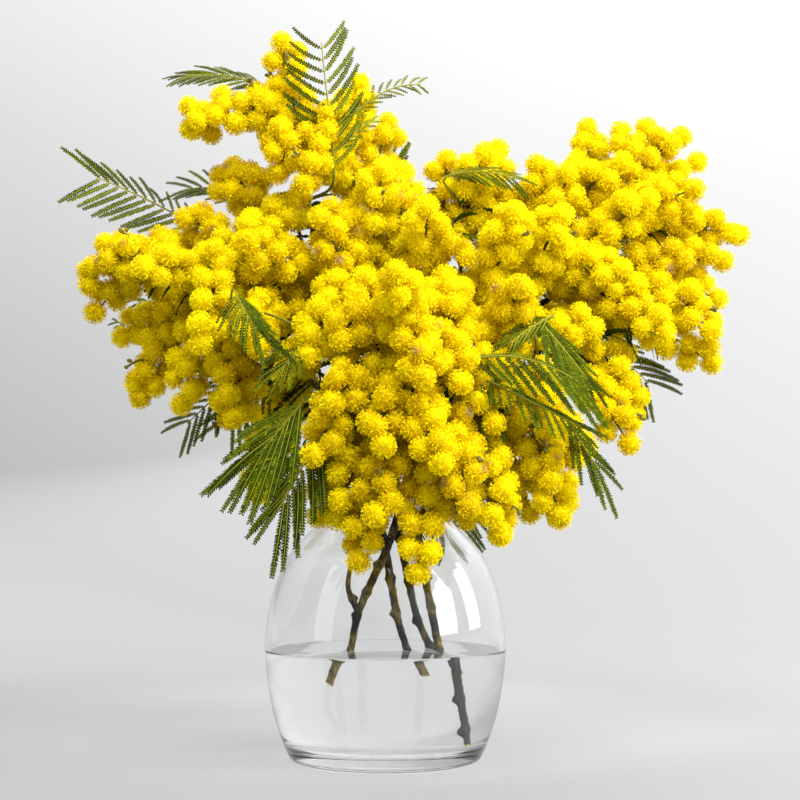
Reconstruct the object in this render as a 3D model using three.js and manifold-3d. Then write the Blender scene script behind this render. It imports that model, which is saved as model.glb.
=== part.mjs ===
// Cut mimosa branches in a round glass vase that is partly filled with water.
// Millimetres, +Z up. The origin is the centre of the vase's foot, and -Y is the front.
import * as THREE from "three";
import { mergeVertices } from "three/addons/utils/BufferGeometryUtils.js";
import Module from "manifold-3d";

const wasm = await Module();
wasm.setup();

// ---------------------------------------------------------------- driving dimensions

const GAP = 0.35; // air between one piece and the next
const WELD = 1e-4;
const SHORTEST_EDGE = 0.04;
const SCRAP = 1; // cubic millimetres

const VASE = {
  segments: 24,
  wall: 2.2,
  floor: 6.5,
  // the floor rises into the wall over this width and height
  floorRound: [5, 4],
  foot: [36, 0],
  // radius and height of the outside, from the heel to the lip
  outside: [
    [39.5, 2], [42.5, 9], [46.5, 22], [49.5, 44], [47.5, 64], [41, 82], [30.5, 94], [24.5, 102], [25.5, 110],
  ],
  outsideSteps: 9,
};
const WATER_LEVEL = 45;
const HOLE_DEPTH = 1.5 * GAP; // below a stem's cut end

// radii at the ends, how fast a stem thins, and how thick an arm starts
const BARK = { root: 2.7, tip: 1.2, sideTip: 0.9, taper: 1.2, armShare: 0.8, step: 19, sides: 5 };
const STEM_SAMPLES = 60;

const TWIG_R = 1.0;
const TWIG_SIDES = 3;
const HEAD = { radius: 6.4, seat: 6.2, crown: 5.4, pitch: 14, core: 4, jitter: 0.06, turn: 0.55 };
const RACEME_R = HEAD.seat + HEAD.crown;
const RACEME_ARCH = 0.06; // share of its span
const SEED = 23;

const FROND = {
  ribWidth: 0.95, ribHeight: 0.8, ribTip: 0.55, ribEnd: 3, arch: 0.07, bladeHeight: 0.4, blade: 1.5,
};

// ---------------------------------------------------------------- layout

// Each branch is a main stem from its cut end upwards, and the arms that fork from it.
const BRANCHES = {
  branch_right: {
    main: [[-18, -5, 33], [-14, -5, 46], [-11, -6, 60], [-4, -9, 76], [3, -11, 92], [12, -8, 122],
      [38, 2, 160], [70, 8, 192], [102, 12, 216], [114, 13, 223]],
    arms: [
      [[13, -7, 124], [45, -18, 152], [80, -14, 170], [114, -4, 182]],
      [[22, -4, 137], [48, 30, 162], [70, 50, 185], [90, 56, 204]],
      [[-11, -6, 60], [-15, -9, 70], [-14, -10, 80]],
    ],
  },
  branch_top: {
    main: [[13, -5, 36], [9, -5, 45], [5, -4, 58], [0, -3, 86], [-4, 0, 105], [-10, 6, 135], [-18, 8, 170],
      [-28, 6, 210], [-34, 3, 236], [-37, 1, 254]],
    arms: [
      [[-9, 5, 131], [0, 34, 168], [6, 56, 198], [10, 62, 218]],
      [[-18, 8, 170], [-36, 10, 196], [-54, 10, 224]],
    ],
  },
  branch_front: {
    main: [[22, 6, 36], [18, 5, 46], [13, 6, 58], [7, 7, 86], [5, 4, 100], [1, -4, 116], [0, -20, 134],
      [1, -38, 150], [3, -50, 161]],
    arms: [
      [[1, -4, 116], [10, -14, 148], [18, -14, 180], [24, -8, 210], [32, -2, 232]],
      [[0, -20, 134], [22, -42, 150], [46, -50, 150]],
      [[0, -20, 134], [-12, -38, 142], [-22, -46, 152]],
    ],
  },
  branch_left: {
    main: [[29, -13, 9], [28, -12, 14], [25, -9, 26], [21, -5, 50], [19, -2, 60], [17, 1, 71], [14, 6, 88],
      [10, 9, 100], [0, 11, 118], [-20, 12, 145], [-48, 8, 172], [-75, 2, 192], [-96, -2, 202]],
    arms: [
      [[-20, 12, 145], [-42, -6, 166], [-62, -20, 184]],
      [[0, 11, 118], [-24, 38, 150], [-42, 52, 172], [-50, 54, 180]],
    ],
  },
};

// Each spray is one twig from a branch, with its racemes given by start and tip.
const SPRAYS = {
  spray_crest: [
    [[-38, 0, 266], [-44, -2, 300]], [[-50, -4, 270], [-84, -8, 259]],
    [[-48, 4, 266], [-58, 8, 284]],
  ],
  spray_crest_front: [[[-26, -12, 262], [-34, -32, 228]], [[-28, -8, 248], [-14, -16, 268]]],
  spray_crest_back: [[[-18, 10, 254], [-10, 12, 290]], [[-6, 20, 244], [2, 26, 276]]],
  spray_crown: [[[-6, -16, 208], [0, -32, 243]], [[-14, -22, 196], [-28, -40, 221]]],
  spray_crown_left: [[[-40, -6, 226], [-60, -30, 206]], [[-32, -14, 184], [-56, -34, 179]]],
  spray_back_left_high: [[[-55, 15, 224], [-68, 20, 255]], [[-66, 2, 216], [-88, -8, 224]]],
  spray_far_left: [[[-92, 2, 214], [-124, -5, 180]], [[-94, -8, 208], [-118, -20, 202]]],
  spray_left_bright: [[[-72, -16, 200], [-100, -38, 197]]],
  spray_left_big: [[[-66, -24, 205], [-72, -48, 162]], [[-54, -26, 194], [-48, -50, 160]]],
  spray_left_inner: [[[-36, -20, 199], [-57, -46, 208]]],
  spray_left_hang: [[[-86, 4, 188], [-104, 0, 144]], [[-92, 16, 194], [-116, 14, 172]]],
  spray_left_low: [
    [[-64, -14, 174], [-59, -32, 134]], [[-40, 10, 154], [-55, 14, 104]],
    [[-76, -8, 176], [-84, -16, 140]],
  ],
  spray_nearest: [[[6, -62, 172], [4, -88, 191]], [[-6, -48, 184], [-18, -68, 162]]],
  spray_centre_left: [
    [[-18, -36, 190], [-30, -64, 156]], [[-4, -48, 160], [-21, -76, 138]],
    [[-20, -30, 176], [-42, -50, 151]],
  ],
  spray_centre: [
    [[24, -44, 184], [29, -74, 145]], [[10, -60, 174], [15, -88, 146]],
    [[34, -44, 168], [47, -62, 141]],
  ],
  spray_centre_low: [
    [[10, -60, 148], [22, -88, 115]], [[0, -58, 150], [0, -84, 121]],
    [[2, -56, 128], [-4, -80, 96]],
  ],
  spray_hang_left: [
    [[0, -48, 136], [-10, -66, 78]], [[-14, -42, 135], [-26, -58, 95]],
    [[-14, -52, 146], [-28, -74, 118]],
  ],
  spray_hang_mid: [[[18, -58, 126], [12, -72, 74]], [[26, -60, 132], [32, -80, 99]]],
  spray_low_right: [[[36, -56, 138], [44, -64, 88]], [[55, -46, 142], [68, -50, 95]]],
  spray_low_far_right: [[[48, -34, 132], [58, -36, 96]]],
  spray_right_crown: [
    [[24, 0, 222], [26, 0, 254]], [[38, 6, 230], [50, 8, 260]],
    [[16, -22, 204], [17, -48, 223]],
  ],
  spray_right_top: [
    [[66, 0, 220], [82, -5, 250]], [[78, 8, 232], [104, 0, 251]],
    [[48, 10, 222], [66, 14, 246]],
  ],
  spray_far_top: [
    [[92, 15, 234], [132, 18, 266]], [[88, 22, 238], [88, 26, 274]],
    [[110, 24, 230], [141, 31, 258]], [[118, 19, 224], [158, 22, 220]],
  ],
  spray_right_bright: [
    [[44, -24, 196], [52, -50, 221]], [[34, -18, 186], [26, -38, 211]],
    [[62, -18, 202], [72, -42, 221]],
  ],
  spray_right_mid: [[[46, -36, 167], [52, -66, 189]], [[56, -18, 174], [88, -30, 174]]],
  spray_right_long: [
    [[66, -8, 207], [106, -24, 191]], [[84, -2, 212], [112, -18, 231]],
    [[84, -8, 194], [116, -26, 170]],
  ],
  spray_far_right: [[[94, 0, 222], [134, -4, 237]], [[112, 4, 206], [147, 3, 206]]],
  spray_right_low: [
    [[98, 0, 186], [140, 0, 160]], [[112, 24, 202], [150, 32, 193]],
    [[72, -2, 176], [104, -8, 164]],
  ],
  spray_right_hang: [[[78, -18, 160], [100, -25, 124]], [[60, -26, 146], [82, -38, 122]]],
  spray_back_top: [[[-16, 38, 210], [-26, 62, 238]], [[12, 58, 212], [24, 72, 238]]],
  spray_back_centre: [[[4, 58, 188], [2, 88, 176]], [[24, 54, 172], [36, 84, 152]]],
  spray_back_left: [[[-54, 54, 192], [-78, 68, 178]], [[-62, 42, 206], [-94, 44, 214]]],
  spray_back_left_low: [[[-44, 40, 156], [-61, 60, 120]], [[-18, 52, 148], [-27, 84, 136]]],
  spray_back_right: [[[64, 48, 190], [72, 78, 192]], [[61, 38, 212], [66, 52, 242]]],
  spray_back_far_right: [[[92, 48, 206], [124, 54, 208]], [[84, 42, 174], [108, 46, 138]]],
  spray_back_low: [[[6, 38, 148], [-4, 66, 108]], [[40, 40, 154], [55, 60, 116]]],
};

// Each frond: where the stalk bears its first leaflets, the tip, which way its upper face looks,
// pairs of pinnae, longest pinna, sweep of the pinnae from the rib in degrees, and droop.
const FRONDS = {
  frond_crest: {
    base: [-22, -18, 240], tip: [-26, -24, 293], face: [0.1, -1, 0.15],
    pairs: 7, pinna: 24, sweep: 52, droop: 3,
  },
  frond_crest_left: {
    base: [-52, 14, 280], tip: [-88, 10, 286], face: [-0.1, -0.45, 1],
    pairs: 6, pinna: 15, sweep: 42, droop: 3,
  },
  frond_crest_right: {
    base: [-8, 6, 268], tip: [20, 6, 285], face: [-0.2, -0.8, 0.7],
    pairs: 5, pinna: 14, sweep: 45, droop: 3,
  },
  frond_left: {
    base: [-84, 16, 230], tip: [-130, 6, 250], face: [0.1, -0.9, 0.35],
    pairs: 7, pinna: 27, sweep: 48, droop: 4,
  },
  frond_left_back: {
    base: [-58, 26, 238], tip: [-98, 30, 253], face: [0.1, -0.7, 0.6],
    pairs: 5, pinna: 20, sweep: 45, droop: 4,
  },
  frond_crown_right: {
    base: [32, -14, 238], tip: [62, -18, 241], face: [0.1, -0.7, 0.7],
    pairs: 4, pinna: 14, sweep: 40, droop: 3,
  },
  frond_right_upper: {
    base: [45, -63, 162], tip: [88, -64, 140], face: [0.2, -0.9, 0.4],
    pairs: 6, pinna: 24, sweep: 36, droop: 4,
  },
  frond_right_middle: {
    base: [64, -46, 170], tip: [86, -56, 146], face: [0.5, -0.8, 0.3],
    pairs: 5, pinna: 22, sweep: 36, droop: 4,
  },
  frond_right_lower: {
    base: [62, -62, 128], tip: [92, -56, 98], face: [0.4, -0.9, 0.2],
    pairs: 6, pinna: 22, sweep: 38, droop: 4,
  },
  frond_front_left: {
    base: [-30, -54, 138], tip: [-66, -56, 110], face: [-0.2, -0.95, 0.25],
    pairs: 7, pinna: 30, sweep: 62, droop: 5,
  },
  frond_front_low: {
    base: [-28, -58, 118], tip: [-44, -60, 84], face: [-0.2, -0.95, 0.1],
    pairs: 6, pinna: 26, sweep: 40, droop: 4,
  },
  frond_left_inner: {
    base: [-62, -36, 184], tip: [-38, -52, 156], face: [-0.2, -0.9, 0.3],
    pairs: 5, pinna: 18, sweep: 45, droop: 3,
  },
  frond_left_lower: {
    base: [-58, 14, 160], tip: [-90, 18, 136], face: [-0.1, -0.95, 0.2],
    pairs: 6, pinna: 22, sweep: 48, droop: 4,
  },
  frond_left_tip: {
    base: [-102, 28, 186], tip: [-122, 28, 178], face: [0, -0.9, 0.4],
    pairs: 4, pinna: 14, sweep: 45, droop: 3,
  },
  frond_back_top: {
    base: [4, 40, 228], tip: [-2, 48, 264], face: [0.1, 0.9, 0.3],
    pairs: 5, pinna: 18, sweep: 48, droop: 3,
  },
  frond_back_left: {
    base: [-50, 68, 168], tip: [-78, 84, 142], face: [-0.3, 0.9, 0.3],
    pairs: 6, pinna: 24, sweep: 48, droop: 4,
  },
  frond_back_right: {
    base: [92, 62, 182], tip: [120, 64, 160], face: [0.2, 0.9, 0.3],
    pairs: 6, pinna: 22, sweep: 46, droop: 4,
  },
  frond_back_low: {
    base: [24, 68, 128], tip: [34, 84, 92], face: [0.1, 0.95, 0.2],
    pairs: 6, pinna: 22, sweep: 48, droop: 4,
  },
};

// ---------------------------------------------------------------- materials

function finish(color, roughness, more = {}) {
  return new THREE.MeshStandardMaterial({ color, roughness, metalness: 0, ...more });
}

const MATERIALS = {
  glass: finish(0xeef2f4, 0.05, { transparent: true, opacity: 0.3 }),
  water: finish(0xe4eaee, 0.05, { transparent: true, opacity: 0.4 }),
  bark: finish(0x5a4a38, 0.85),
  blossom: finish(0xf7dc0a, 0.9),
  leaf: finish(0x33501f, 0.7),
};

const model = new THREE.Group();
model.name = "mimosa_in_vase";

function addPiece(name, geometry, material) {
  geometry.computeVertexNormals();
  const mesh = new THREE.Mesh(geometry, material);
  mesh.name = name;
  model.add(mesh);
}

// ---------------------------------------------------------------- solids and curves

const vector = (p) => new THREE.Vector3(...p);
const lerp = THREE.MathUtils.lerp;

/** A repeatable stream of numbers in [0, 1). */
function randomStream(seed) {
  let state = seed >>> 0;
  return () => {
    state = (state + 0x6d2b79f5) >>> 0;
    let t = Math.imul(state ^ (state >>> 15), 1 | state);
    t = (t + Math.imul(t ^ (t >>> 7), 61 | t)) ^ t;
    return ((t ^ (t >>> 14)) >>> 0) / 4294967296;
  };
}

/** Only positions, with shared vertices joined and collapsed triangles dropped. */
function welded(geometry) {
  const bare = new THREE.BufferGeometry();
  bare.setAttribute("position", geometry.getAttribute("position"));
  bare.setIndex(geometry.index);
  const joined = mergeVertices(bare, WELD);
  const index = joined.index.array;
  const kept = [];
  for (let i = 0; i < index.length; i += 3) {
    const [a, b, c] = [index[i], index[i + 1], index[i + 2]];
    if (a !== b && b !== c && c !== a) kept.push(a, b, c);
  }
  joined.setIndex(kept);
  return joined;
}

function toSolid(geometry) {
  const shape = welded(geometry);
  return new wasm.Manifold(new wasm.Mesh({
    numProp: 3,
    vertProperties: new Float32Array(shape.getAttribute("position").array),
    triVerts: new Uint32Array(shape.index.array),
  }));
}

/** A union can leave slivers and hair-thin edges where faces nearly meet; the piece is its one real body. */
function withoutScraps(solid, name) {
  const bodies = solid.simplify(SHORTEST_EDGE).decompose().filter((body) => body.volume() > SCRAP);
  if (bodies.length !== 1) throw new Error(`${name} has ${bodies.length} bodies`);
  return bodies[0];
}

function toGeometry(solid) {
  const { vertProperties, triVerts } = solid.getMesh();
  const geometry = new THREE.BufferGeometry();
  geometry.setAttribute("position", new THREE.BufferAttribute(new Float32Array(vertProperties), 3));
  geometry.setIndex([...triVerts]);
  return geometry;
}

/** Vertices and faces gathered one by one, for shapes that are grown face by face. */
class Shell {
  points = [];
  faces = [];

  add(point) {
    return this.points.push(point.x, point.y, point.z) / 3 - 1;
  }

  face(...corners) {
    for (let i = 2; i < corners.length; i++) this.faces.push(corners[0], corners[i - 1], corners[i]);
  }

  at(index) {
    return new THREE.Vector3().fromArray(this.points, index * 3);
  }

  geometry() {
    const geometry = new THREE.BufferGeometry();
    geometry.setAttribute("position", new THREE.BufferAttribute(new Float32Array(this.points), 3));
    geometry.setIndex(this.faces);
    return geometry;
  }
}

const smoothCurve = (points) => new THREE.CatmullRomCurve3(points, false, "centripetal");

/** A tapering closed tube along a curve. */
function taperedTube(curve, sides, steps, radiusAt) {
  const geometry = new THREE.CylinderGeometry(1, 1, 1, sides, steps);
  const position = geometry.getAttribute("position");
  const { normals, binormals } = curve.computeFrenetFrames(steps, false);
  for (let i = 0; i < position.count; i++) {
    const step = Math.round((0.5 - position.getY(i)) * steps);
    const radius = radiusAt(step / steps);
    const point = curve.getPointAt(step / steps)
      .addScaledVector(normals[step], position.getX(i) * radius)
      .addScaledVector(binormals[step], position.getZ(i) * radius);
    position.setXYZ(i, point.x, point.y, point.z);
  }
  return geometry;
}

// ---------------------------------------------------------------- keeping pieces apart

// Every thin run laid so far: {owner, points, radius}. Every raceme's axis: {id, points}.
const wires = [];
const racemes = [];

function distanceToPath(point, path) {
  const segment = new THREE.Line3();
  const nearest = new THREE.Vector3();
  let least = Infinity;
  for (let i = 1; i < path.length; i++) {
    segment.set(path[i - 1], path[i]).closestPointToPoint(point, true, nearest);
    least = Math.min(least, nearest.distanceTo(point));
  }
  return least;
}

/** Room between a point and the nearest thin run of any other owner. */
function roomFromWires(point, owner) {
  let room = Infinity;
  for (const wire of wires) {
    if (wire.owner === owner || wire.box.distanceToPoint(point) > room + wire.radius) continue;
    room = Math.min(room, distanceToPath(point, wire.points) - wire.radius);
  }
  return room;
}

/** Distance from a point to the nearest axis of another raceme. */
function distanceToRacemes(point, id) {
  let least = Infinity;
  for (const raceme of racemes) {
    if (raceme.id !== id && raceme.box.distanceToPoint(point) < least) {
      least = Math.min(least, distanceToPath(point, raceme.points));
    }
  }
  return least;
}

function layWire(owner, points, radius) {
  wires.push({ owner, points, radius, box: new THREE.Box3().setFromPoints(points) });
}

// ---------------------------------------------------------------- vase and water

const vaseOutside = new THREE.SplineCurve(VASE.outside.map(([r, z]) => new THREE.Vector2(r, z)))
  .getPoints(VASE.outsideSteps);

/** The outside profile moved in by a distance, from the given height up. */
function insideProfile(distance, lowest, highest = Infinity) {
  return vaseOutside
    .map((point, i) => {
      const before = vaseOutside[Math.max(0, i - 1)];
      const after = vaseOutside[Math.min(vaseOutside.length - 1, i + 1)];
      const along = after.clone().sub(before).normalize();
      return new THREE.Vector2(point.x - distance * along.y, point.y + distance * along.x);
    })
    .filter((point) => point.y > lowest && point.y < highest);
}

function turned(profile) {
  return new THREE.LatheGeometry(profile, VASE.segments).rotateX(Math.PI / 2);
}

function radiusAtHeight(profile, height) {
  const above = profile.findIndex((point) => point.y > height);
  const [low, high] = [profile[above - 1], profile[above]];
  return lerp(low.x, high.x, (height - low.y) / (high.y - low.y));
}

const [floorRun, floorRise] = VASE.floorRound;
const inside = insideProfile(VASE.wall, VASE.floor + floorRise);
const floorRadius = inside[0].x - floorRun;
const lip = vaseOutside.at(-1);

const vaseProfile = [
  new THREE.Vector2(0, 0),
  new THREE.Vector2(...VASE.foot),
  ...vaseOutside,
  new THREE.Vector2(lip.x - VASE.wall / 2, lip.y + VASE.wall / 2),
  ...inside.toReversed(),
  new THREE.Vector2(floorRadius, VASE.floor),
  new THREE.Vector2(0, VASE.floor),
];

const wet = insideProfile(VASE.wall + GAP, VASE.floor + floorRise + GAP, WATER_LEVEL);
const waterProfile = [
  new THREE.Vector2(0, VASE.floor + GAP),
  new THREE.Vector2(floorRadius - GAP, VASE.floor + GAP),
  ...wet,
  new THREE.Vector2(radiusAtHeight(insideProfile(VASE.wall + GAP, 0), WATER_LEVEL), WATER_LEVEL),
  new THREE.Vector2(0, WATER_LEVEL),
];

// ---------------------------------------------------------------- branches

/** The runs of one branch: its main stem and its arms, with a radius along each. */
function branchRuns({ main, arms }) {
  const stem = smoothCurve(main.map(vector));
  const stemRadius = (t) => lerp(BARK.root, BARK.tip, t ** BARK.taper);
  const runs = [{ curve: stem, radius: stemRadius }];
  for (const arm of arms) {
    const start = vector(arm[0]);
    const along = stem.getSpacedPoints(STEM_SAMPLES).map((point) => point.distanceTo(start));
    const root = stemRadius(along.indexOf(Math.min(...along)) / STEM_SAMPLES) * BARK.armShare;
    runs.push({ curve: smoothCurve(arm.map(vector)), radius: (t) => lerp(root, BARK.sideTip, t) });
  }
  return runs;
}

const stepsOf = (curve, step) => Math.max(2, Math.round(curve.getLength() / step));

function branchSolid(runs, growth = 0) {
  return wasm.Manifold.union(runs.map(({ curve, radius }) =>
    toSolid(taperedTube(curve, BARK.sides, stepsOf(curve, BARK.step), (t) => radius(t) + growth))));
}

// Places along the bark where a stalk may start, on the straight lengths between a tube's rings.
const PLACES_PER_STEP = 4;
const branches = Object.entries(BRANCHES).map(([name, plan]) => ({ name, runs: branchRuns(plan) }));
const barkPlaces = [];
for (const { name, runs } of branches) {
  for (const { curve, radius } of runs) {
    const rings = curve.getSpacedPoints(stepsOf(curve, BARK.step));
    for (let i = 1; i < rings.length; i++) {
      const [below, above] = [rings[i - 1], rings[i]];
      layWire(name, [below, above], radius((i - 1) / (rings.length - 1)));
      for (let place = 0; place < PLACES_PER_STEP; place++) {
        const share = (place + 0.5) / PLACES_PER_STEP;
        barkPlaces.push({
          at: below.clone().lerp(above, share),
          along: above.clone().sub(below).normalize(),
          radius: radius((i - 1 + share) / (rings.length - 1)),
        });
      }
    }
  }
}

// ---------------------------------------------------------------- stalks that leave the bark

const AXIS_SAMPLES = 10;
const STALK_STEP = 11;
const LOWEST_STALK = 112;
const SHORTEST_STALK = 13;
const MOST_CHOICES = 60;
const LENGTH_COST = 0.05;
const TURN_COST = 0.35;
const OUTWARD = 12;

/** The points that a stalk's tube passes through. */
const bonesOf = (curve) => curve.getSpacedPoints(stepsOf(curve, STALK_STEP));

/** A curve from the side of a branch to a point, clear of every thin run laid before it. */
function stalkTo(end, heading, owner, radius, id = null) {
  const choices = barkPlaces
    .filter(({ at }) => at.z > LOWEST_STALK && at.distanceTo(end) > SHORTEST_STALK)
    .map((bark) => {
      const reach = end.clone().sub(bark.at);
      const turn = 1 - reach.clone().normalize().dot(heading);
      return { bark, reach, cost: reach.length() * (1 + TURN_COST * turn) };
    })
    .sort((a, b) => a.cost - b.cost);
  let best = null;
  for (const { bark, reach, cost } of choices.slice(0, MOST_CHOICES)) {
    const out = reach.clone().addScaledVector(bark.along, -reach.dot(bark.along)).normalize();
    const start = bark.at.clone().addScaledVector(out, bark.radius + GAP);
    const bend = Math.min(OUTWARD, reach.length() / 3);
    const curve = new THREE.CubicBezierCurve3(start, start.clone().addScaledVector(out, bend),
      end.clone().addScaledVector(heading, -bend), end);
    const room = Math.min(...curve.getSpacedPoints(AXIS_SAMPLES).slice(2).map((point) =>
      Math.min(roomFromWires(point, owner), distanceToRacemes(point, id) - HEAD.core) - radius));
    const merit = room - LENGTH_COST * cost;
    if (!best || merit > best.merit) best = { curve, merit };
    if (room > GAP) break;
  }
  return best.curve;
}

// ---------------------------------------------------------------- flower sprays

// Any direction that no stalk sets out in.
const FIRST_SIDE = new THREE.Vector3(0.31, 0.87, 0.38);

/** Point, direction and side at each station, carried from one to the next without twisting. */
function framesAlong(stations) {
  let side = FIRST_SIDE;
  return stations.map(({ curve, share }) => {
    const at = curve.getPointAt(share);
    const along = curve.getTangentAt(share);
    side = side.clone().addScaledVector(along, -side.dot(along)).normalize();
    return { at, along, side, up: along.clone().cross(side) };
  });
}

function addRing(shell, { at, side, up }, sides, radius, turn) {
  return Array.from({ length: sides }, (_, k) => {
    const angle = turn + (k * 2 * Math.PI) / sides;
    return shell.add(at.clone()
      .addScaledVector(side, Math.cos(angle) * radius)
      .addScaledVector(up, Math.sin(angle) * radius));
  });
}

const centreOf = (...points) =>
  points.reduce((sum, point) => sum.add(point), new THREE.Vector3()).divideScalar(points.length);

/** The corners of one flower head that stands on a loop of the raceme's core. */
function headOn(corners, outward, scale) {
  const seat = centreOf(...corners).addScaledVector(outward, (HEAD.seat - HEAD.core / 2) * scale);
  const waist = corners.map((corner, i) => {
    const reach = centreOf(corner, corners[(i + 1) % corners.length]).sub(seat);
    const level = reach.addScaledVector(outward, -reach.dot(outward)).normalize();
    return seat.clone().addScaledVector(level, HEAD.radius * scale);
  });
  return { waist, top: seat.clone().addScaledVector(outward, HEAD.crown * scale) };
}

const HEAD_SCALES = [1, 0.88, 0.76, 0.64, 0.5];
const PROBE_SPACING = 1.6;

/** Raises a flower head on a loop of the shell, as large as its neighbours leave room for. */
function raiseHead(shell, loop, outward, raceme, size) {
  const corners = loop.map((index) => shell.at(index));
  for (const scale of HEAD_SCALES) {
    const { waist, top } = headOn(corners, outward, size * scale);
    const probes = waist.flatMap((point, i) => {
      const j = (i + 1) % waist.length;
      return [
        point, centreOf(point, waist[j], top), centreOf(point, waist[j]),
        centreOf(point, corners[i]), centreOf(point, corners[j]),
      ];
    });
    const clear = [top, ...probes].every((point) =>
      roomFromWires(point, raceme.owner) > GAP + PROBE_SPACING * scale &&
      distanceToRacemes(point, raceme.id) > distanceToPath(point, raceme.points) + GAP);
    if (clear) {
      const crown = shell.add(top);
      const ring = waist.map((point) => shell.add(point));
      loop.forEach((corner, i) => {
        const j = (i + 1) % loop.length;
        shell.face(corner, loop[j], ring[i]);
        shell.face(loop[j], ring[j], ring[i]);
        shell.face(ring[i], ring[j], crown);
      });
      return;
    }
  }
  shell.face(...loop);
}

function racemeShell(raceme, random) {
  const { stalk, axis } = raceme;
  const shell = new Shell();
  const tipHead = RACEME_R - HEAD.core / 2;
  const length = axis.getLength() - tipHead;
  const bearing = length / axis.getLength();
  const rows = Math.max(1, Math.round(length / HEAD.pitch));
  const stalkSteps = stepsOf(stalk, STALK_STEP);
  const frames = framesAlong([
    ...Array.from({ length: stalkSteps }, (_, i) => ({ curve: stalk, share: i / stalkSteps })),
    ...Array.from({ length: rows + 1 }, (_, i) => ({ curve: axis, share: (i / rows) * bearing })),
  ]);
  const rings = frames.map((frame, i) => {
    const row = i - stalkSteps;
    const room = Math.min(roomFromWires(frame.at, raceme.owner), distanceToRacemes(frame.at, raceme.id) / 2);
    const radius = row < 0 ? TWIG_R : THREE.MathUtils.clamp(room - GAP, TWIG_R, HEAD.core);
    return addRing(shell, frame, TWIG_SIDES, radius, Math.max(0, row) * HEAD.turn);
  });
  const last = rings.at(-1);
  rings.slice(1).forEach((ring, i) => {
    const below = rings[i];
    const row = i - stalkSteps;
    below.forEach((corner, k) => {
      const next = (k + 1) % TWIG_SIDES;
      const loop = [corner, below[next], ring[next], ring[k]];
      if (row < 0) {
        shell.face(...loop);
        return;
      }
      const angle = (row + 0.5) * HEAD.turn + ((k + 0.5) * 2 * Math.PI) / TWIG_SIDES;
      const { side, up } = frames[i];
      const outward = side.clone().multiplyScalar(Math.cos(angle)).addScaledVector(up, Math.sin(angle));
      raiseHead(shell, loop, outward, raceme, 1 + HEAD.jitter * (2 * random() - 1));
    });
  });
  shell.face(...rings[0].toReversed());
  raiseHead(shell, last, frames.at(-1).along, raceme, 1);
  return shell;
}

// ---------------------------------------------------------------- fronds

// Half outline of a pinna from its root to its tip: share of its length, and share of the blade's width.
const TEETH = [[0.3, 1], [0.36, 0.42], [0.64, 0.95], [0.7, 0.4]];
const PINNA_PROBES = [0.3, 0.55, 0.8, 1];
const PINNA_LENGTHS = [1, 0.8, 0.6, 0.42];
const PINNA_LIFTS = [0, 0.2, -0.2, 0.4, -0.4, 0.65, -0.65];

/** Pinnae are short at the root, longest before the middle and shortest at the tip. */
const pinnaShare = (share) => 0.45 + 0.55 * Math.sin(Math.PI * (0.18 + 0.72 * share));

function frondPlan(name, { base, tip, face, pinna }) {
  const [root, end] = [vector(base), vector(tip)];
  const upper = vector(face).normalize();
  const span = end.clone().sub(root);
  const rise = upper.clone().multiplyScalar(span.length() * FROND.arch);
  const rib = new THREE.QuadraticBezierCurve3(root, root.clone().addScaledVector(span, 0.5).add(rise), end);
  const stalk = stalkTo(root, rib.getTangentAt(0), name, FROND.ribWidth);
  layWire(name, [...bonesOf(stalk), ...rib.getSpacedPoints(AXIS_SAMPLES)], FROND.ribWidth + GAP);
  return { name, rib, stalk, upper, pinna };
}

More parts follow.
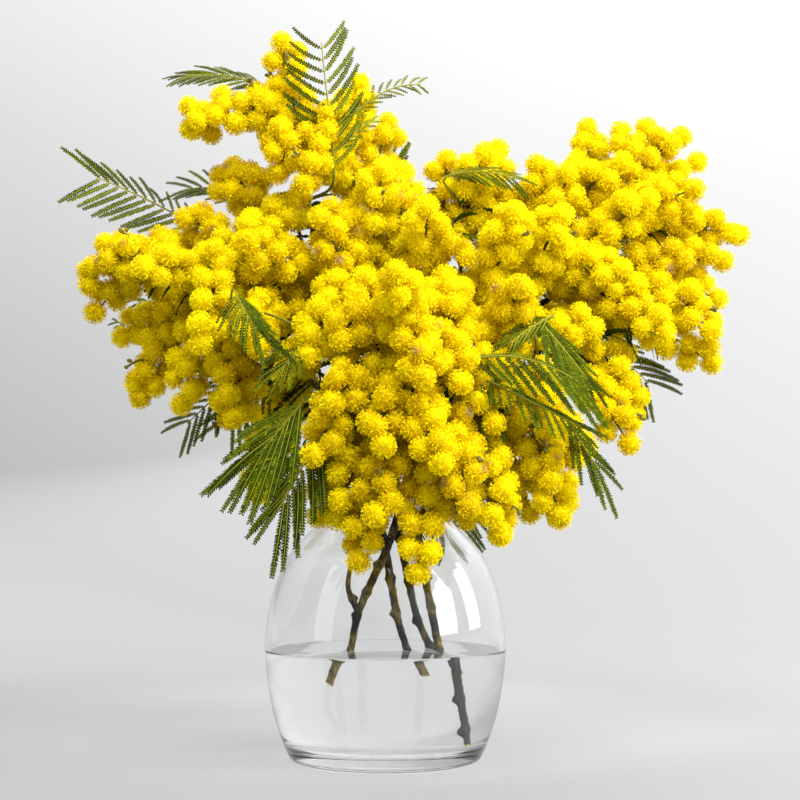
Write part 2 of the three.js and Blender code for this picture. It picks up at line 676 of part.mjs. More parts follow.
/** A leaf with a rib and pairs of toothed pinnae, flat outside and a little thick along every rib. */
function frondGeometry(plan, { pairs, sweep, droop }) {
  const { name, rib, stalk, upper } = plan;
  const shell = new Shell();
  const angle = THREE.MathUtils.degToRad(sweep);
  const frameAt = (curve, t, facing) => {
    const along = curve.getTangentAt(t);
    const across = along.clone().cross(facing).normalize();
    return { at: curve.getPointAt(t), along, across, normal: across.clone().cross(along) };
  };
  // a ridge vertex is one above and one below the leaf
  const ridge = (point, normal, height) =>
    [height, -height].map((offset) => shell.add(point.clone().addScaledVector(normal, offset)));
  // a triangle of the leaf is laid once on each face; ridge vertices come as pairs
  const leaf = (a, b, c) => {
    const above = [a, b, c].map((v) => (Array.isArray(v) ? v[0] : v));
    const below = [a, b, c].map((v) => (Array.isArray(v) ? v[1] : v));
    shell.face(...above);
    shell.face(...below.reverse());
  };

  const stalkSteps = stepsOf(stalk, STALK_STEP);
  const frames = Array.from({ length: pairs + 1 }, (_, i) => frameAt(rib, i / pairs, upper));
  // down the stalk the upper face turns with the bends and doesn't twist
  for (let i = stalkSteps - 1; i >= 0; i--) {
    const bend = new THREE.Quaternion()
      .setFromUnitVectors(frames[0].along, stalk.getTangentAt(i / stalkSteps));
    frames.unshift(frameAt(stalk, i / stalkSteps, frames[0].normal.clone().applyQuaternion(bend)));
  }
  const width = (i) => FROND.ribWidth * lerp(1, FROND.ribTip, Math.max(0, i - stalkSteps) / pairs);
  const centres = frames.map((frame, i) => {
    const next = frames[Math.min(frames.length - 1, i + 1)];
    const between = frame.at.clone().lerp(next.at, 0.5);
    return ridge(between, frame.normal, (FROND.ribHeight * width(i)) / FROND.ribWidth);
  });
  const edges = [1, -1].map((hand) => frames.map((frame, i) =>
    shell.add(frame.at.clone().addScaledVector(frame.across, hand * width(i)))));
  const end = shell.add(rib.getPointAt(1).addScaledVector(rib.getTangentAt(1), FROND.ribEnd));
  const start = centres[0];

  edges.forEach((edge, hand) => {
    const sign = hand === 0 ? 1 : -1;
    const lay = (a, b, c) => (sign > 0 ? leaf(a, b, c) : leaf(a, c, b));
    frames.slice(0, -1).forEach((frame, i) => {
      const centre = centres[i];
      const nextEdge = edge[i + 1];
      if (i < frames.length - 2) lay(centre, nextEdge, centres[i + 1]);
      const share = (i - stalkSteps + 0.5) / pairs;
      const blade = share > 0 ? bladeAt(frame, centre, share, sign) : null;
      if (blade) graftBlade(lay, blade, edge[i], nextEdge, centre);
      else lay(centre, edge[i], nextEdge);
    });
    lay(centres.at(-2), edge.at(-1), end);
  });
  leaf(start, edges[1][0], edges[0][0]);
  return shell.geometry();

  /** A pinna that lies clear of the flowers, as long and as level as they allow. */
  function bladeAt(frame, centre, share, sign) {
    const root = shell.at(centre[0]).add(shell.at(centre[1])).divideScalar(2);
    const heading = frame.along.clone().multiplyScalar(Math.cos(angle))
      .addScaledVector(frame.across, sign * Math.sin(angle));
    const longest = plan.pinna * pinnaShare(share);
    for (const length of PINNA_LENGTHS.map((part) => part * longest)) {
      for (const lift of PINNA_LIFTS) {
        const place = (t) => root.clone().addScaledVector(heading, t * length)
          .addScaledVector(frame.normal, lift * t * length - droop * t * t);
        const clear = PINNA_PROBES.map(place).every((point) =>
          distanceToRacemes(point, null) > RACEME_R + GAP && roomFromWires(point, name) > FROND.blade + GAP);
        if (clear) return { frame, heading, place };
      }
    }
    return null;
  }

  /** Sews one pinna to the rib between two of its edge vertices. */
  function graftBlade(lay, { frame, heading, place }, before, after, centre) {
    const sideways = heading.clone().cross(frame.normal).normalize();
    const tip = shell.add(place(1));
    const middle = ridge(place(0.5), frame.normal, FROND.bladeHeight);
    const lean = sideways.dot(frame.along) > 0 ? 1 : -1;
    const row = (hand) => TEETH.map(([t, w]) =>
      shell.add(place(t).addScaledVector(sideways, hand * lean * w * FROND.blade)));
    const [fore, aft] = [row(1), row(-1)];
    const foreHalf = fore.length / 2;
    const sew = (chain, flip) => {
      const put = flip ? (a, b, c) => lay(a, c, b) : lay;
      chain.slice(1).forEach((point, i) => put(i <= foreHalf - 1 ? centre : middle, chain[i], point));
      put(centre, chain[foreHalf], middle);
    };
    sew([before, ...aft, tip], false);
    sew([after, ...fore, tip], true);
  }
}

// ---------------------------------------------------------------- assembly

addPiece("vase", welded(turned(vaseProfile)), MATERIALS.glass);

// a hole is as wide as its stem and a gap all round, and reaches a little below the cut end
const stemHoles = branches.flatMap(({ runs }) => {
  const hole = branchSolid(runs.slice(0, 1), GAP);
  return [hole, hole.translate(0, 0, -HOLE_DEPTH)];
});
const water = toSolid(turned(waterProfile)).subtract(wasm.Manifold.union(stemHoles));
addPiece("water", toGeometry(withoutScraps(water, "water")), MATERIALS.water);

for (const { name, runs } of branches) {
  addPiece(name, toGeometry(withoutScraps(branchSolid(runs), name)), MATERIALS.bark);
}

for (const [name, axes] of Object.entries(SPRAYS)) {
  axes.forEach(([from, tip], i) => {
    const [start, end] = [vector(from), vector(tip)];
    const span = end.clone().sub(start);
    const axis = new THREE.QuadraticBezierCurve3(start, start.clone().addScaledVector(span, 0.5)
      .add(new THREE.Vector3(0, 0, span.length() * RACEME_ARCH)), end);
    const points = axis.getSpacedPoints(AXIS_SAMPLES);
    const box = new THREE.Box3().setFromPoints(points);
    racemes.push({ id: `${name}_${i}`, owner: name, axis, points, box });
  });
}

for (const raceme of racemes) {
  const sibling = racemes.find(({ owner, stalk }) => owner === raceme.owner && stalk);
  if (sibling) {
    const bones = bonesOf(sibling.stalk);
    const joint = Math.floor(bones.length / 2);
    const fork = bones[joint];
    const end = raceme.axis.getPointAt(0);
    const bend = fork.distanceTo(end) / 3;
    const along = end.clone().sub(fork).normalize().add(sibling.stalk.getTangentAt(0.5)).normalize();
    const heading = raceme.axis.getTangentAt(0);
    raceme.stalk = new THREE.CubicBezierCurve3(fork, fork.clone().addScaledVector(along, bend),
      end.clone().addScaledVector(heading, -bend), end);
  } else {
    const { axis, owner, id } = raceme;
    raceme.stalk = stalkTo(axis.getPointAt(0), axis.getTangentAt(0), owner, TWIG_R, id);
  }
  layWire(raceme.owner, bonesOf(raceme.stalk), TWIG_R);
}

const frondPlans = Object.entries(FRONDS).map(([name, frond]) => frondPlan(name, frond));

for (const [i, name] of Object.keys(SPRAYS).entries()) {
  const random = randomStream(SEED + i);
  const shells = racemes.filter(({ owner }) => owner === name).map((raceme) => racemeShell(raceme, random));
  const fused = wasm.Manifold.union(shells.map((shell) => toSolid(shell.geometry())));
  addPiece(name, toGeometry(withoutScraps(fused, name)), MATERIALS.blossom);
}

for (const plan of frondPlans) {
  addPiece(plan.name, welded(frondGeometry(plan, FRONDS[plan.name])), MATERIALS.leaf);
}

export default model;
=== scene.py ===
"""Cut mimosa branches in a glass vase: the finished surfaces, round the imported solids.

Shapes are worked out in millimetres and become metres, like the frame, when a mesh is made.
+Z is up and -Y is the front.
"""
import math

import bmesh
import bpy
import numpy as np
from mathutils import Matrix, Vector
from numpy.linalg import norm


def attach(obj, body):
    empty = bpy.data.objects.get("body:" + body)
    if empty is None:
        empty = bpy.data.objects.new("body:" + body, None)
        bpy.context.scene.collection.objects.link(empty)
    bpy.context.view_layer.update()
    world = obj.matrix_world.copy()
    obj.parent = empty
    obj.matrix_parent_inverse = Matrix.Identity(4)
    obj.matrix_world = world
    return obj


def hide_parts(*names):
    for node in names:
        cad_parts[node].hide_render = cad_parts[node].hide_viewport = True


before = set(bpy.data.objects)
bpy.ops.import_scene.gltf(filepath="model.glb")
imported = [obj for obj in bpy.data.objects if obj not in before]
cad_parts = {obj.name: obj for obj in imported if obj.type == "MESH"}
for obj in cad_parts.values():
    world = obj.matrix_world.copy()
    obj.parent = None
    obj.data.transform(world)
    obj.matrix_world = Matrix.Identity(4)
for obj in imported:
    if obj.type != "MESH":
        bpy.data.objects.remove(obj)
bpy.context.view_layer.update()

MM = 0.001
SEED = 20
GOLDEN_ANGLE = math.pi * (3 - math.sqrt(5))

# ---- studio

CAMERA = {"at": (6, -650, 100), "aim": (6, 0, 147.7), "lens": 70.4, "sensor": 36, "clip": (0.01, 50)}

# each lamp's place, size and power
LAMPS = {
    "pane_near": ((740, -400, 480), (340, 720), 9),
    "pane_far": ((900, 60, 480), (300, 720), 5.5),
    "front": ((140, -560, 880), (600, 500), 14.3),
    "left": ((-700, -420, 420), (300, 700), 1.5),
    "top": ((0, 200, 900), (700, 700), 3),
    "back": ((-420, 700, 620), (900, 900), 4),
}
LAMPS_AIM = (0, 0, 170)
# this lamp's reflection would be a white streak on the glass
LAMP_WITHOUT_SHINE = "back"
SKY, SKY_POWER = (0.86, 0.87, 0.9), 0.55

FLOOR = {"radius": 1500, "flat": 400, "turn": 900, "rise": 1200, "segments": 96}
# The floor's paleness is painted light and shade: darker towards the front, paler towards the back, and paler
# in a pool round the vase, where the bunch keeps the light off it. It is the sum of two, each of which
# changes between two
# distances in metres: how far behind the vase, and how far from a place near it. Its glow is painted light
# too, and grows with the distance and along X, Y and Z.
PAINTED_LIGHT_BACK = (-0.3, 0.62, 0.205, 0.335)
PAINTED_LIGHT_POOL_AT, PAINTED_LIGHT_POOL = (-0.02, 0.14, 0), (0, 0.24, 0.12, 0)
PAINTED_GLOW, PAINTED_GLOW_REACH, PAINTED_GLOW_LEAN = -0.075, 0.04, (0.28, 0.1, 0.6)

# ---- driving dimensions

VASE = {
    "segments": 96,
    "wall": 2.2,
    "floor": 6.5,
    "flat": 18,
    # how far the inside's round corner reaches in and up, and the angle that it turns through
    "corner": (8, 6, 1.4),
    # radius and height of the underside, from the axis to the heel, and of the outside, up to the lip
    "underside": [(0, 1.4), (14, 1.4), (24, 1.12), (31, 0.49), (34, 0.1), (35.5, 0), (37.2, 0.25),
                  (38.6, 0.9)],
    "outside": [(39.5, 2), (42.5, 9), (46.5, 22), (49.5, 44), (47.5, 64), (41, 82), (30.5, 94), (24.5, 102),
                (25.5, 110)],
}
WATER = {"level": 45, "overlap": 0.06, "meniscus": 0.05, "meniscus_width": 0.5, "flat": 20}

# Radii at a stem's foot and tip and at an arm's tip, how fast a stem thins, and how thick an arm starts. The
# lowest stretch of a stem thins to a share at its cut end, which slants.
BARK = {"root": 1.85, "tip": 1.1, "side_tip": 0.9, "taper": 1.2, "arm_share": 0.8, "foot": (40, 0.78),
        "slant": (0.3, 0.5), "rough": 0.05, "between_nodes": 0.94, "step": 1.2, "sides": 12}
# The swellings where leaves stood: a low ring round the stem, a share of the height of the bump on one side.
# They stay clear of the stem's ends, and narrow is how fast the bump falls off round the stem.
STEM_NODES = {"first": (6, 12), "last": 8, "spacing": 15, "height": 2, "length": 1.4, "ring": 0.22,
              "narrow": 2.2}
# how far a stalk runs straight out of the bark, and the steps that the solids' stalks are made in
STALK = {"out": 12, "step": 11}
TWIG = {"root": 0.95, "tip": 0.4, "sides": 5, "step": 3}
TWIGLET = {"root": 0.8, "tip": 0.5, "length": (5, 8), "bud": 0.9, "buds": 3, "share": 0.35}
PETIOLE_R = 0.3

# A flower head's parts. Reaches, and the clefts' inner and outer ends, are for a head of radius 1.
HEAD = {
    "radius": 5.5, "sizes": (0.9, 1.06), "apart": 7.3, "kinds": 5,
    "core": 0.76,
    # the stars of clefts, and the darker tips over them, are painted shade in the gaps between the stamens'
    # bundles
    "stars": 7, "star": 0.2,
    "clefts": 6, "cleft": 0.97, "cleft_inner": (0.02, 0.08), "cleft_outer": (0.24, 0.46), "cleft_half": 0.035,
    "cleft_shade_brown": 0.45,
    "tips": 130, "tip": 0.5, "tip_reach": (0.86, 1.0),
    "hairs": 247, "hair": 0.6, "hair_reach": (0.95, 1.06), "hair_sunk": 0.12,
}
# the last stretch of a raceme's stalk bears heads too
RACEME = {"radius": 11.6, "arch": 0.06, "stalk": 14, "tries": 500, "shades": (0.62, 0.9)}
# shares of a spray's heads that are going over
SPENT_ELSEWHERE = 0.03
SPENT = {"back_left_high": 0.6, "low_right": 0.4, "low_far_right": 0.3, "centre": 0.15, "crown": 0.2,
         "hang_mid": 0.3, "right_hang": 0.15, "far_left": 0.1, "centre_low": 0.2, "hang_left": 0.12}

# a leaflet's length is a share of its pinna's, and more
LEAFLET = {"spacing": 1.2, "share": 0.06, "least": 0.65, "width": 0.9, "lean": 46, "blade": 0.42}
PINNA = {"root": 0.28, "tip": 0.12, "droop": 2, "points": 9, "shades": (0.42, 0.85)}
RIB = {"root": 0.715, "tip": 0.22, "sides": 5, "step": 2.5}
# the leaves inside the bunch, which stand along the arms between two heights; their dark colour is painted
# shade
INNER = {"from": 116, "to": 240, "spacing": 1.5, "length": (12, 24), "width": 2.6, "points": 20, "notch": 0.5}

# ---- colours

# A vertex's shade picks one colour from the tips' row and one from the roots' row, and its depth mixes them,
# from 0, the roots' colour, to 1. The last number is the share of the light that comes through. The blossom's
# yellow roots are darker and more orange than its tips: painted shade deep inside the flower heads.
PALETTES = {
    "blossom": (
        [(0, (0.1, 0.075, 0.03)), (0.2, (0.24, 0.21, 0.04)), (0.28, (0.26, 0.15, 0.1)),
         (0.36, (0.45, 0.29, 0.12)), (0.45, (0.76, 0.56, 0.003)), (0.7, (0.93, 0.765, 0.002)),
         (1, (0.97, 0.87, 0.004))],
        [(0, (0.06, 0.045, 0.02)), (0.2, (0.14, 0.12, 0.02)), (0.3, (0.12, 0.07, 0.035)),
         (0.45, (0.4, 0.25, 0.002)), (1, (0.69, 0.49, 0.002))],
        0.3,
    ),
    "leaf": (
        [(0, (0.15, 0.15, 0.02)), (0.2, (0.28, 0.28, 0.02)), (0.35, (0.015, 0.027, 0.001)),
         (0.7, (0.06, 0.096, 0.001)), (1, (0.22, 0.26, 0.003))],
        [(0, (0.08, 0.085, 0.01)), (0.2, (0.1, 0.12, 0.012)), (0.35, (0.008, 0.014, 0.001)),
         (1, (0.05, 0.07, 0.002))],
        0.15,
    ),
}
TWIG_SHADES, CALYX_SHADE, BLOSSOM_SHADES = (0, 0.16), 0.3, (0.45, 1)
# the inner leaves' shades are darker than the pinnae's: painted shade deep in the bunch
RIB_SHADES, LEAFLET_SHADES, INNER_PAINTED_SHADE_TONES = (0.02, 0.18), (0.35, 1), (0.36, 0.6)

BARK_COLOURS = {
    "bark": [(0.35, (0.003, 0.0025, 0.002)), (0.5, (0.010, 0.008, 0.006)), (0.65, (0.04, 0.031, 0.02))],
    "green": [(0.35, (0.02, 0.016, 0.003)), (0.65, (0.2, 0.15, 0.02))],
    "wood": (0.42, 0.36, 0.07, 1),
}
GLASS, GLASS_IOR = (0.996, 1, 1, 1), 1.47
WATER_CLEAR, WATER_IOR = (0.997, 0.999, 1, 1), 1.333

# ---- layout, as in the solids

# Each branch is a main stem from its cut end upwards, and the arms that fork from it.
BRANCHES = {
    "right": [
        [(-18, -5, 33), (-14, -5, 46), (-11, -6, 60), (-4, -9, 76), (3, -11, 92), (12, -8, 122),
         (38, 2, 160), (70, 8, 192), (102, 12, 216), (114, 13, 223)],
        [(13, -7, 124), (45, -18, 152), (80, -14, 170), (114, -4, 182)],
        [(22, -4, 137), (48, 30, 162), (70, 50, 185), (90, 56, 204)],
        [(-11, -6, 60), (-15, -9, 70), (-14, -10, 80)],
    ],
    "top": [
        [(13, -5, 36), (9, -5, 45), (5, -4, 58), (0, -3, 86), (-4, 0, 105), (-10, 6, 135), (-18, 8, 170),
         (-28, 6, 210), (-34, 3, 236), (-37, 1, 254)],
        [(-9, 5, 131), (0, 34, 168), (6, 56, 198), (10, 62, 218)],
        [(-18, 8, 170), (-36, 10, 196), (-54, 10, 224)],
    ],
    "front": [
        [(22, 6, 36), (18, 5, 46), (13, 6, 58), (7, 7, 86), (5, 4, 100), (1, -4, 116), (0, -20, 134),
         (1, -38, 150), (3, -50, 161)],
        [(1, -4, 116), (10, -14, 148), (18, -14, 180), (24, -8, 210), (32, -2, 232)],
        [(0, -20, 134), (22, -42, 150), (46, -50, 150)],
        [(0, -20, 134), (-12, -38, 142), (-22, -46, 152)],
    ],
    "left": [
        [(29, -13, 9), (28, -12, 14), (25, -9, 26), (21, -5, 50), (19, -2, 60), (17, 1, 71), (14, 6, 88),
         (10, 9, 100), (0, 11, 118), (-20, 12, 145), (-48, 8, 172), (-75, 2, 192), (-96, -2, 202)],
        [(-20, 12, 145), (-42, -6, 166), (-62, -20, 184)],
        [(0, 11, 118), (-24, 38, 150), (-42, 52, 172), (-50, 54, 180)],
    ],
}

# Each spray is one twig from a branch, with its racemes given by start and tip.
SPRAYS = {
    "crest": [
        ((-38, 0, 268), (-45, -2, 304)), ((-50, -4, 270), (-84, -8, 259)), ((-48, 4, 266), (-58, 8, 284)),
    ],
    "crest_front": [((-26, -12, 262), (-34, -32, 228)), ((-28, -8, 248), (-14, -16, 268))],
    "crest_back": [((-18, 10, 254), (-10, 12, 290)), ((-6, 20, 244), (2, 26, 276))],
    "crown": [((-6, -16, 208), (0, -32, 243)), ((-14, -22, 196), (-28, -40, 221))],
    "crown_left": [((-40, -6, 226), (-60, -30, 206)), ((-32, -14, 184), (-56, -34, 179))],
    "back_left_high": [((-55, 15, 224), (-68, 20, 255)), ((-66, 2, 216), (-88, -8, 224))],
    "far_left": [((-92, 2, 214), (-124, -5, 180)), ((-94, -8, 208), (-118, -20, 202))],
    "left_bright": [((-72, -16, 200), (-100, -38, 197))],
    "left_big": [((-66, -24, 205), (-72, -48, 162)), ((-54, -26, 194), (-48, -50, 160))],
    "left_inner": [((-36, -20, 199), (-57, -46, 208))],
    "left_hang": [((-86, 4, 188), (-104, 0, 144)), ((-92, 16, 194), (-116, 14, 172))],
    "left_low": [
        ((-64, -14, 174), (-59, -32, 134)), ((-40, 10, 154), (-55, 14, 104)),
        ((-76, -8, 176), (-84, -16, 140)),
    ],
    "nearest": [((6, -62, 172), (4, -88, 191)), ((-6, -48, 184), (-18, -68, 162))],
    "centre_left": [
        ((-18, -36, 190), (-30, -64, 156)), ((-4, -48, 160), (-21, -76, 138)),
        ((-20, -30, 176), (-42, -50, 151)),
    ],
    "centre": [
        ((24, -44, 184), (29, -74, 145)), ((10, -60, 174), (15, -88, 146)), ((34, -44, 168), (47, -62, 141)),
    ],
    "centre_low": [
        ((10, -60, 148), (22, -88, 115)), ((0, -58, 150), (0, -84, 121)), ((2, -56, 128), (-4, -80, 96)),
    ],
    "hang_left": [
        ((0, -48, 136), (-10, -66, 78)), ((-14, -42, 135), (-26, -58, 95)),
        ((-14, -52, 146), (-28, -74, 118)),
    ],
    "hang_mid": [((18, -58, 126), (12, -72, 74)), ((26, -60, 132), (32, -80, 99))],
    "low_right": [((36, -56, 138), (44, -64, 88)), ((55, -46, 142), (68, -50, 95))],
    "low_far_right": [((48, -34, 132), (58, -36, 96))],
    "right_crown": [
        ((24, 0, 222), (26, 0, 254)), ((38, 6, 230), (50, 8, 260)), ((16, -22, 204), (17, -48, 223)),
    ],
    "right_top": [
        ((66, 0, 220), (82, -5, 250)), ((78, 8, 232), (104, 0, 251)), ((48, 10, 222), (66, 14, 246)),
    ],
    "far_top": [
        ((92, 15, 234), (132, 18, 266)), ((88, 22, 238), (88, 26, 274)), ((110, 24, 230), (141, 31, 258)),
        ((118, 19, 224), (158, 22, 220)),
    ],
    "right_bright": [
        ((44, -24, 196), (52, -50, 221)), ((34, -18, 186), (26, -38, 211)), ((62, -18, 202), (72, -42, 221)),
    ],
    "right_mid": [((46, -36, 167), (52, -66, 189)), ((56, -18, 174), (88, -30, 174))],
    "right_long": [
        ((66, -8, 207), (106, -24, 191)), ((84, -2, 212), (112, -18, 231)), ((84, -8, 194), (116, -26, 170)),
    ],
    "far_right": [((94, 0, 222), (134, -4, 237)), ((112, 4, 206), (147, 3, 206))],
    "right_low": [
        ((98, 0, 186), (140, 0, 160)), ((112, 24, 202), (150, 32, 193)), ((72, -2, 176), (104, -8, 164)),
    ],
    "right_hang": [((78, -18, 160), (100, -25, 124)), ((60, -26, 146), (82, -38, 122))],
    "back_top": [((-16, 38, 210), (-26, 62, 238)), ((12, 58, 212), (24, 72, 238))],
    "back_centre": [((4, 58, 188), (2, 88, 176)), ((24, 54, 172), (36, 84, 152))],
    "back_left": [((-54, 54, 192), (-78, 68, 178)), ((-62, 42, 206), (-94, 44, 214))],
    "back_left_low": [((-44, 40, 156), (-61, 60, 120)), ((-18, 52, 148), (-27, 84, 136))],
    "back_right": [((64, 48, 190), (72, 78, 192)), ((61, 38, 212), (66, 52, 242))],
    "back_far_right": [((92, 48, 206), (124, 54, 208)), ((84, 42, 174), (108, 46, 138))],
    "back_low": [((6, 38, 148), (-4, 66, 108)), ((40, 40, 154), (55, 60, 116))],
}

# Smaller racemes that fill the sprays out, on side twigs of their own.
SIDE_RACEMES = {
    "crest": [((-75, -8, 267), (-84, -10, 256))],
    "crest_front": [((-39, -18, 255), (-45, -22, 234))],
    "back_left_high": [((-63, 8, 241), (-75, 4, 234))],
    "crown": [((-14, -18, 215), (-25, -26, 227)), ((6, -14, 219), (8, -18, 245))],
    "right_crown": [((35, -4, 235), (43, -8, 255))],
    "right_top": [((72, 0, 234), (60, -4, 250))],
    "far_top": [((107, 14, 247), (100, 18, 270)), ((116, 22, 252), (113, 26, 274))],
    "right_low": [((125, -6, 187), (135, -10, 164))],
    "right_hang": [((90, -14, 158), (103, -18, 136))],
    "low_far_right": [((67, -36, 134), (76, -40, 117)), ((65, -44, 113), (68, -46, 94))],
    "low_right": [((28, -58, 114), (32, -62, 94)), ((39, -60, 106), (45, -62, 88))],
    "far_left": [((-116, -8, 204), (-124, -12, 190))],
    "hang_left": [((-14, -60, 111), (-19, -62, 94))],
    "left_hang": [((-99, 2, 161), (-106, 0, 149))],
    "left_low": [((-60, -14, 150), (-65, -16, 134))],
}

# Each leaf of a frond node: the corners that its rib bends along, which way its upper face looks, then for
# the pinnae on one side and on the other their lengths at the base, middle and tip of the rib and their sweep
# in degrees at its base and tip, and last the share of its length that a pinna hangs, the share that it curls
# towards the tip, and the spacing.
FRONDS = [
    ("crest", [(-21, -17, 241), (-22, -20, 261), (-25, -22, 277), (-26, -24, 292)], (0.1, -1, 0.15),
     (12, 18, 12), (58, 56), (12, 18, 12), (76, 66), 0, 0.36, 4.8),
    ("crest_left", [(-53, 14, 284), (-66, 12, 291), (-86, 10, 288)], (-0.1, -0.8, 0.6),
     (9, 13, 10), (40, 12), (9, 12, 9), (34, 14), 0.05, 0.1, 2.6),
    ("crest_right", [(-17, 2, 266), (-6, 4, 278), (4, 6, 284), (15, 6, 283)], (-0.2, -0.9, 0.4),
     (6, 6, 5), (30, 40), (7, 8, 6), (55, 60), 0, 0.2, 3.4),
    ("crest_right", [(-21, -6, 251), (-15, -6, 259), (-5, -4, 265)], (0, -0.9, 0.4),
     (5, 5, 4), (40, 20), (5, 6, 4), (40, 25), 0, 0.1, 3.6),
    ("left", [(-82, 16, 224), (-101, 12, 235), (-123, 6, 243)], (0.1, -0.9, 0.35),
     (9, 14, 20), (58, 20), (17, 21, 20), (54, 50), 0, 0.05, 4.4),
    ("left_back", [(-58, 26, 238), (-74, 28, 245), (-87, 30, 243)], (0.1, -0.8, 0.5),
     (10, 16, 16), (62, 30), (12, 15, 14), (34, 12), 0.04, 0.1, 4.4),
    ("crown_right", [(25, -14, 239), (39, -16, 243), (53, -18, 237)], (0.1, -0.8, 0.6),
     (9, 11, 9), (36, 30), (9, 11, 9), (40, 30), 0.1, 0.1, 3.8),
    ("right_upper", [(32, -63, 158), (46, -66, 162), (60, -66, 158), (73, -64, 150)], (0.2, -0.9, 0.4),
     (11, 23, 21), (58, 20), (5, 8, 10), (20, 10), 0.08, 0.05, 3.8),
    ("right_upper", [(35, -60, 152), (45, -64, 148), (57, -66, 141), (74, -62, 133)], (0.2, -0.9, 0.4),
     (7, 10, 13), (60, 28), (7, 13, 14), (20, 10), 0.05, 0.05, 3.8),
    ("right_middle", [(58, -50, 177), (63, -58, 169), (69, -60, 162), (77, -60, 151)], (0.3, -0.9, 0.2),
     (18, 20, 12), (24, 14), (14, 16, 12), (28, 10), 0.05, 0.05, 3.6),
    ("right_middle", [(64, -52, 176), (56, -58, 172), (48, -60, 165)], (0.1, -0.9, 0.5),
     (8, 9, 8), (36, 24), (8, 9, 8), (30, 24), 0.05, 0.1, 3),
    ("right_lower", [(69, -58, 136), (74, -60, 127), (80, -58, 119)], (0.3, -0.95, 0.2),
     (14, 19, 22), (30, 6), (12, 15, 16), (34, 20), 0.04, 0.05, 4),
    ("front_left", [(-31, -54, 143), (-38, -60, 134), (-46, -60, 124)], (-0.2, -0.95, 0.25),
     (25, 28, 25), (40, 12), (30, 34, 24), (28, 4), 0.06, 0.05, 3.3),
    ("front_low", [(-24, -58, 131), (-30, -64, 119), (-38, -64, 104)], (-0.2, -0.95, 0.1),
     (17, 18, 20), (26, 12), (24, 25, 25), (40, 24), 0, 0.14, 3.6),
    ("left_inner", [(-57, -54, 185), (-53, -62, 177), (-48, -64, 170)], (-0.1, -0.95, 0.1),
     (12, 13, 13), (66, 22), (15, 17, 17), (18, 14), 0.05, 0.05, 2.6),
    ("left_inner", [(-31, -60, 164), (-34, -64, 160), (-38, -64, 155)], (-0.1, -0.95, 0.2),
     (14, 14, 12), (40, 20), (12, 12, 12), (34, 14), 0.05, 0.05, 3),
    ("left_lower", [(-60, 14, 162), (-72, 16, 151), (-85, 18, 139)], (-0.1, -0.95, 0.2),
     (15, 16, 13), (42, 34), (16, 18, 14), (44, 30), 0.05, 0.1, 4.2),
    ("left_lower", [(-59, 4, 171), (-55, 6, 160), (-48, 8, 147)], (-0.1, -0.95, 0.2),
     (10, 11, 9), (40, 30), (10, 11, 9), (40, 30), 0.05, 0.1, 4.2),
    ("left_tip", [(-95, 28, 191), (-103, 28, 191), (-111, 28, 194)], (0, -0.9, 0.4),
     (6, 6, 5), (36, 26), (6, 7, 5), (36, 26), 0.05, 0.1, 3.4),
    ("left_tip", [(-102, 26, 180), (-110, 26, 181), (-118, 26, 184)], (0, -0.9, 0.4),
     (4, 4, 3), (36, 26), (4, 5, 4), (36, 26), 0.05, 0.1, 3.4),
    ("back_top", [(4, 40, 228), (-1, 41, 246), (-2, 48, 264)], (0.1, 0.9, 0.3),
     (12, 17, 11), (48, 48), (12, 17, 11), (48, 48), 0, 0.2, 4.6),
    ("back_left", [(-50, 68, 168), (-62, 78, 158), (-74, 84, 144)], (-0.3, 0.9, 0.3),
     (14, 20, 15), (44, 40), (14, 20, 15), (44, 40), 0.15, 0.1, 4.6),
    ("back_right", [(92, 62, 182), (106, 64, 174), (120, 64, 160)], (0.2, 0.9, 0.3),
     (13, 20, 15), (42, 38), (13, 20, 15), (42, 38), 0.15, 0.1, 4.6),
    ("back_low", [(24, 68, 128), (32, 78, 112), (34, 84, 94)], (0.1, 0.95, 0.2),
     (14, 20, 15), (44, 36), (14, 20, 15), (44, 36), 0.1, 0.1, 4.6),
]

# ---- camera and light


def add_object(name, data):
    obj = bpy.data.objects.new(name, data)
    bpy.context.scene.collection.objects.link(obj)
    return obj


def look_from(obj, at, aim):
    obj.location = Vector(at) * MM
    obj.rotation_euler = (Vector(aim) - Vector(at)).to_track_quat("-Z", "Y").to_euler()


def add_camera():
    data = bpy.data.cameras.new("camera")
    data.lens, data.sensor_width = CAMERA["lens"], CAMERA["sensor"]
    data.clip_start, data.clip_end = CAMERA["clip"]
    camera = add_object("camera", data)
    look_from(camera, CAMERA["at"], CAMERA["aim"])
    bpy.context.scene.camera = camera


def add_lamps():
    """Soft lamps round the bunch. They show as reflections in the glass, but aren't seen through it."""
    for name, (at, size, power) in LAMPS.items():
        data = bpy.data.lights.new(name, "AREA")
        data.shape = "RECTANGLE"
        data.size, data.size_y = (side * MM for side in size)
        data.energy = power
        lamp = add_object(name, data)
        look_from(lamp, at, LAMPS_AIM)
        lamp.visible_transmission = False
        lamp.visible_glossy = name != LAMP_WITHOUT_SHINE


def add_world():
    world = bpy.data.worlds.new("studio")
    bpy.context.scene.world = world
    world.use_nodes = True
    background = world.node_tree.nodes["Background"]
    background.inputs["Color"].default_value = (*SKY, 1)
    background.inputs["Strength"].default_value = SKY_POWER
    bpy.context.scene.view_settings.view_transform = "Standard"


add_camera()
add_lamps()
add_world()

# ---- curves


def unit(vectors):
    return vectors / norm(vectors, axis=-1, keepdims=True)


def length_of(path):
    return norm(np.diff(path, axis=0), axis=1).sum()


def spaced(path, count):
    """Points at even distances along a polyline."""
    run = np.r_[0, np.cumsum(norm(np.diff(path, axis=0), axis=1))]
    at = np.linspace(0, run[-1], count)
    return np.stack([np.interp(at, run, path[:, axis]) for axis in range(3)], axis=1)


